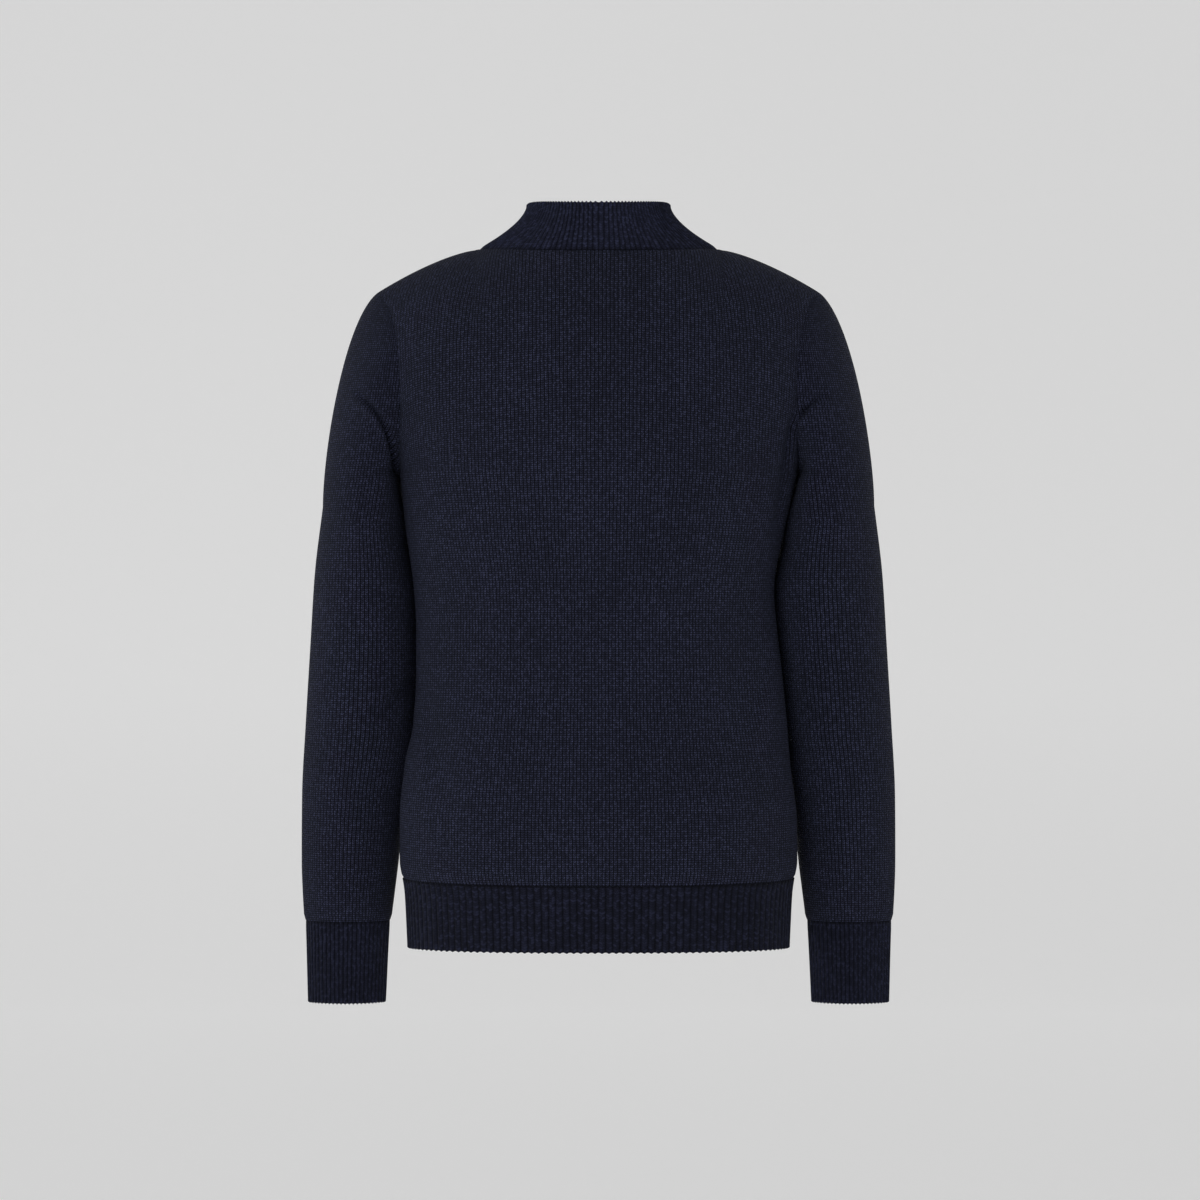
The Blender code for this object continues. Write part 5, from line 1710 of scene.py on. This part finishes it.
def zip_lines(context, side, x_places):
    """Lines of points up the front's inner face, from the hem's edge to the collar's upper edge."""
    knit, ribs = context.scene.cardigan_knit, context.scene.cardigan_ribs
    rises = panel_rises(knit.rows)
    front = half_panel(-1, side, rises, knit.columns, ZIP_HALF_GAP)
    hem, _ = hem_grid(-1, (side,), ribs, ribs.hem_count // 4, HEM_ROWS)
    if side < 0:
        hem = hem[:, ::-1]
    collar = collar_grid(rises, knit.columns, ribs.collar_count // 2 * ribs.steps, COLLAR_ROWS)
    half = collar.shape[1] // 2
    collar = collar[:, : half + 1] if side > 0 else collar[:, half:][:, ::-1]
    strips = []
    for grid in (hem, front, collar):
        normals = grid_normals(grid if side > 0 else grid[:, ::-1], False)
        normals = normals if side > 0 else normals[:, ::-1]
        inside = grid - normals * WALL
        strips.append(inside[:, : ZIP_COLUMNS * ribs.steps])
    rows = [row for strip in strips for row in strip]
    return front_lines(rows, x_places, HEM_EDGE + TAPE_END, COLLAR_TOP_FRONT - TAPE_END)


def zip_tape(name, side, lines, inward, look):
    """One side's woven tape, with its finish, riding on the garment in its solid's place."""
    grid = lines if side > 0 else lines[:, ::-1]
    outer = grid + inward[:, None] * TAPE_CLEARANCE
    inner = grid + inward[:, None] * (TAPE_CLEARANCE + TAPE)
    cords = np.array(TAPE_X if side > 0 else TAPE_X[::-1]) / TAPE_CORD
    picks = lengths_along(grid, 0) / TAPE_PICK
    uv = np.stack((np.broadcast_to(cords, picks.shape), picks), axis=-1)
    piece = wall_piece("zip_tape_cloth_" + name, outer, inner, uv)
    show_cloth(piece, ("zip_tape_" + name,), flat_cut(grid, False), look)


def zip_teeth(name, side, lines, inward, teeth, look):
    """One side's row of teeth, with its finish, riding on the garment in its solid's place."""
    path = lines[:, 0] + inward * (TAPE_CLEARANCE + TAPE / 2.0)
    low, high = (np.searchsorted(path[:, 2], z) for z in (TEETH_LOW, TEETH_HIGH))
    points, faces = tooth_rows(path[low:high], inward[low:high], side, teeth)
    row = mesh_piece("zip_teeth_row_" + name, points, faces)
    row.data.materials.append(look)
    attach(row, "garment")
    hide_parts("zip_teeth_" + name)


class CARDIGAN_OT_zip(bpy.types.Operator):
    """Makes the zip's woven tapes and its teeth"""

    bl_idname = "cardigan.zip"
    bl_label = "Zip tapes and teeth"

    def execute(self, context):
        teeth = context.scene.cardigan_zip
        tape = tape_look("zip_tape", teeth.tape)
        metal = metal_look("zip_teeth", teeth.metal)
        for side in (1, -1):
            name = side_name(side)
            lines = zip_lines(context, side, TAPE_X)
            inward = square_inward(lines)
            lines = lines * (side, 1.0, 1.0)
            zip_tape(name, side, lines, inward, tape)
            zip_teeth(name, side, lines, inward, teeth, metal)
        return {"FINISHED"}


class CARDIGAN_OT_metal(bpy.types.Operator):
    """Gives the slider, its pull tab, the stops and the box their metal"""

    bl_idname = "cardigan.metal"
    bl_label = "Zip slider and ends"

    def execute(self, context):
        colour = context.scene.cardigan_zip.metal
        stops = ("zip_top_stop_left", "zip_top_stop_right")
        for name in ("zip_slider", "zip_pull_tab", *stops, "zip_box"):
            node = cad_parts[name]
            look = metal_look(name + "_metal", colour)
            for slot in node.material_slots:
                slot.material = look
        return {"FINISHED"}


class CARDIGAN_OT_sewing(bpy.types.Operator):
    """Sews the zip to the fronts with a line of stitches on each side"""

    bl_idname = "cardigan.sewing"
    bl_label = "Stitching"

    def execute(self, context):
        sewing = context.scene.cardigan_zip
        thread = thread_look("sewing_thread", sewing.thread)
        for side in (1, -1):
            lines = zip_lines(context, side, (ZIP_STITCH_X,))
            path = lines[:, 0] * (side, 1.0, 1.0)
            out = -square_inward(lines)
            path = path + out * (WALL + sewing.thread_radius * STITCH_PROUD)
            sewn = slice(STITCH_MARGIN, -STITCH_MARGIN)
            length, gap = sewing.stitch_length, sewing.stitch_gap
            points, faces = stitch_run(path[sewn], out[sewn], length, gap, sewing.thread_radius)
            piece = mesh_piece("zip_stitches_" + side_name(side), points, faces)
            piece.data.materials.append(thread)
            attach(piece, "garment")
        return {"FINISHED"}


class CARDIGAN_OT_stage(bpy.types.Operator):
    """Sets out the pale floor and backdrop, the soft lights and the camera"""

    bl_idname = "cardigan.stage"
    bl_label = "Stage"

    def execute(self, context):
        stage = context.scene.cardigan_stage
        sweep = [(y, stage.floor) for y in np.linspace(FLOOR_START, SWEEP_START, FLOOR_STEPS)]
        for turn in np.linspace(0.0, math.pi / 2.0, SWEEP_STEPS + 1)[1:]:
            back, up = math.sin(turn), 1.0 - math.cos(turn)
            sweep.append((SWEEP_START - SWEEP_RADIUS * back, stage.floor + SWEEP_RADIUS * up))
        back, up = sweep[-1]
        sweep += [(back, z) for z in np.linspace(up + WALL_START, BACKDROP_TOP, WALL_STEPS)]
        points = [(x, y, z) for y, z in sweep for x in (-STAGE_HALF_WIDTH, STAGE_HALF_WIDTH)]
        faces = [(k, k + 1, k + 3, k + 2) for k in range(0, len(points) - 2, 2)]
        backdrop = mesh_piece("backdrop", np.array(points) / MM, faces)
        look = Look(
            "backdrop_paint", stage.backdrop, 0.9, Specular_IOR_Level=0.1,
            Emission_Color=WHITE, Emission_Strength=stage.glow,
        )
        backdrop.data.materials.append(look.material)

        world = bpy.data.worlds.new("studio")
        world.use_nodes = True
        air = world.node_tree.nodes["Background"]
        air.inputs["Color"].default_value = WHITE
        air.inputs["Strength"].default_value = stage.sky
        context.scene.world = world
        for light in LIGHTS:
            lamp = bpy.data.lights.new(light.name, "AREA")
            lamp.shape = "RECTANGLE"
            lamp.size, lamp.size_y = light.width, light.height
            lamp.energy = light.power
            placed = bpy.data.objects.new(light.name, lamp)
            placed.location = light.at
            way = Vector(light.towards) - Vector(light.at)
            placed.rotation_euler = way.to_track_quat("-Z", "Y").to_euler()
            placed.visible_camera = False
            context.scene.collection.objects.link(placed)

        camera = bpy.data.cameras.new("camera")
        camera.lens = stage.lens
        camera.sensor_width = FILM_WIDTH
        placed = bpy.data.objects.new("camera", camera)
        placed.location = (stage.aim[0], stage.distance, stage.aim[1])
        placed.rotation_euler = (math.pi / 2.0, 0.0, math.pi)
        context.scene.collection.objects.link(placed)
        context.scene.camera = placed
        context.scene.view_settings.view_transform = "Standard"
        return {"FINISHED"}


class CARDIGAN_PT_panel(bpy.types.Panel):
    """Lists the cardigan's pieces and its sizes and colours"""

    bl_idname = "CARDIGAN_PT_panel"
    bl_label = "Cardigan"
    bl_space_type = "VIEW_3D"
    bl_region_type = "UI"
    bl_category = "Cardigan"

    def draw(self, context):
        for title, settings, operators in GROUPS:
            box = self.layout.box()
            box.label(text=title)
            values = getattr(context.scene, settings)
            for name in type(values).__annotations__:
                box.prop(values, name)
            for operator in operators:
                box.operator(operator)


# What the sidebar shows, in the order in which the pieces are made
GROUPS = (
    ("Plain knit", "cardigan_knit", ("cardigan.panels", "cardigan.sleeves")),
    ("Ribs", "cardigan_ribs", ("cardigan.hem", "cardigan.cuffs", "cardigan.collar")),
    ("Zip", "cardigan_zip", ("cardigan.zip", "cardigan.metal", "cardigan.sewing")),
    ("Stage", "cardigan_stage", ("cardigan.stage",)),
)
SETTINGS = {
    "cardigan_knit": KnitSettings,
    "cardigan_ribs": RibSettings,
    "cardigan_zip": ZipSettings,
    "cardigan_stage": StageSettings,
}
OPERATORS = (
    CARDIGAN_OT_panels, CARDIGAN_OT_sleeves, CARDIGAN_OT_hem, CARDIGAN_OT_cuffs,
    CARDIGAN_OT_collar, CARDIGAN_OT_zip, CARDIGAN_OT_metal, CARDIGAN_OT_sewing,
    CARDIGAN_OT_stage, CARDIGAN_PT_panel,
)


def register():
    for group in (*SETTINGS.values(), *OPERATORS):
        bpy.utils.register_class(group)
    for name, group in SETTINGS.items():
        setattr(bpy.types.Scene, name, bpy.props.PointerProperty(type=group))


def unregister():
    for name in SETTINGS:
        delattr(bpy.types.Scene, name)
    for group in (*reversed(OPERATORS), *reversed(SETTINGS.values())):
        bpy.utils.unregister_class(group)


def main():
    register()
    for _, _, operators in GROUPS:
        for operator in operators:
            family, name = operator.split(".")
            getattr(getattr(bpy.ops, family), name)()


if __name__ == "__main__":
    main()
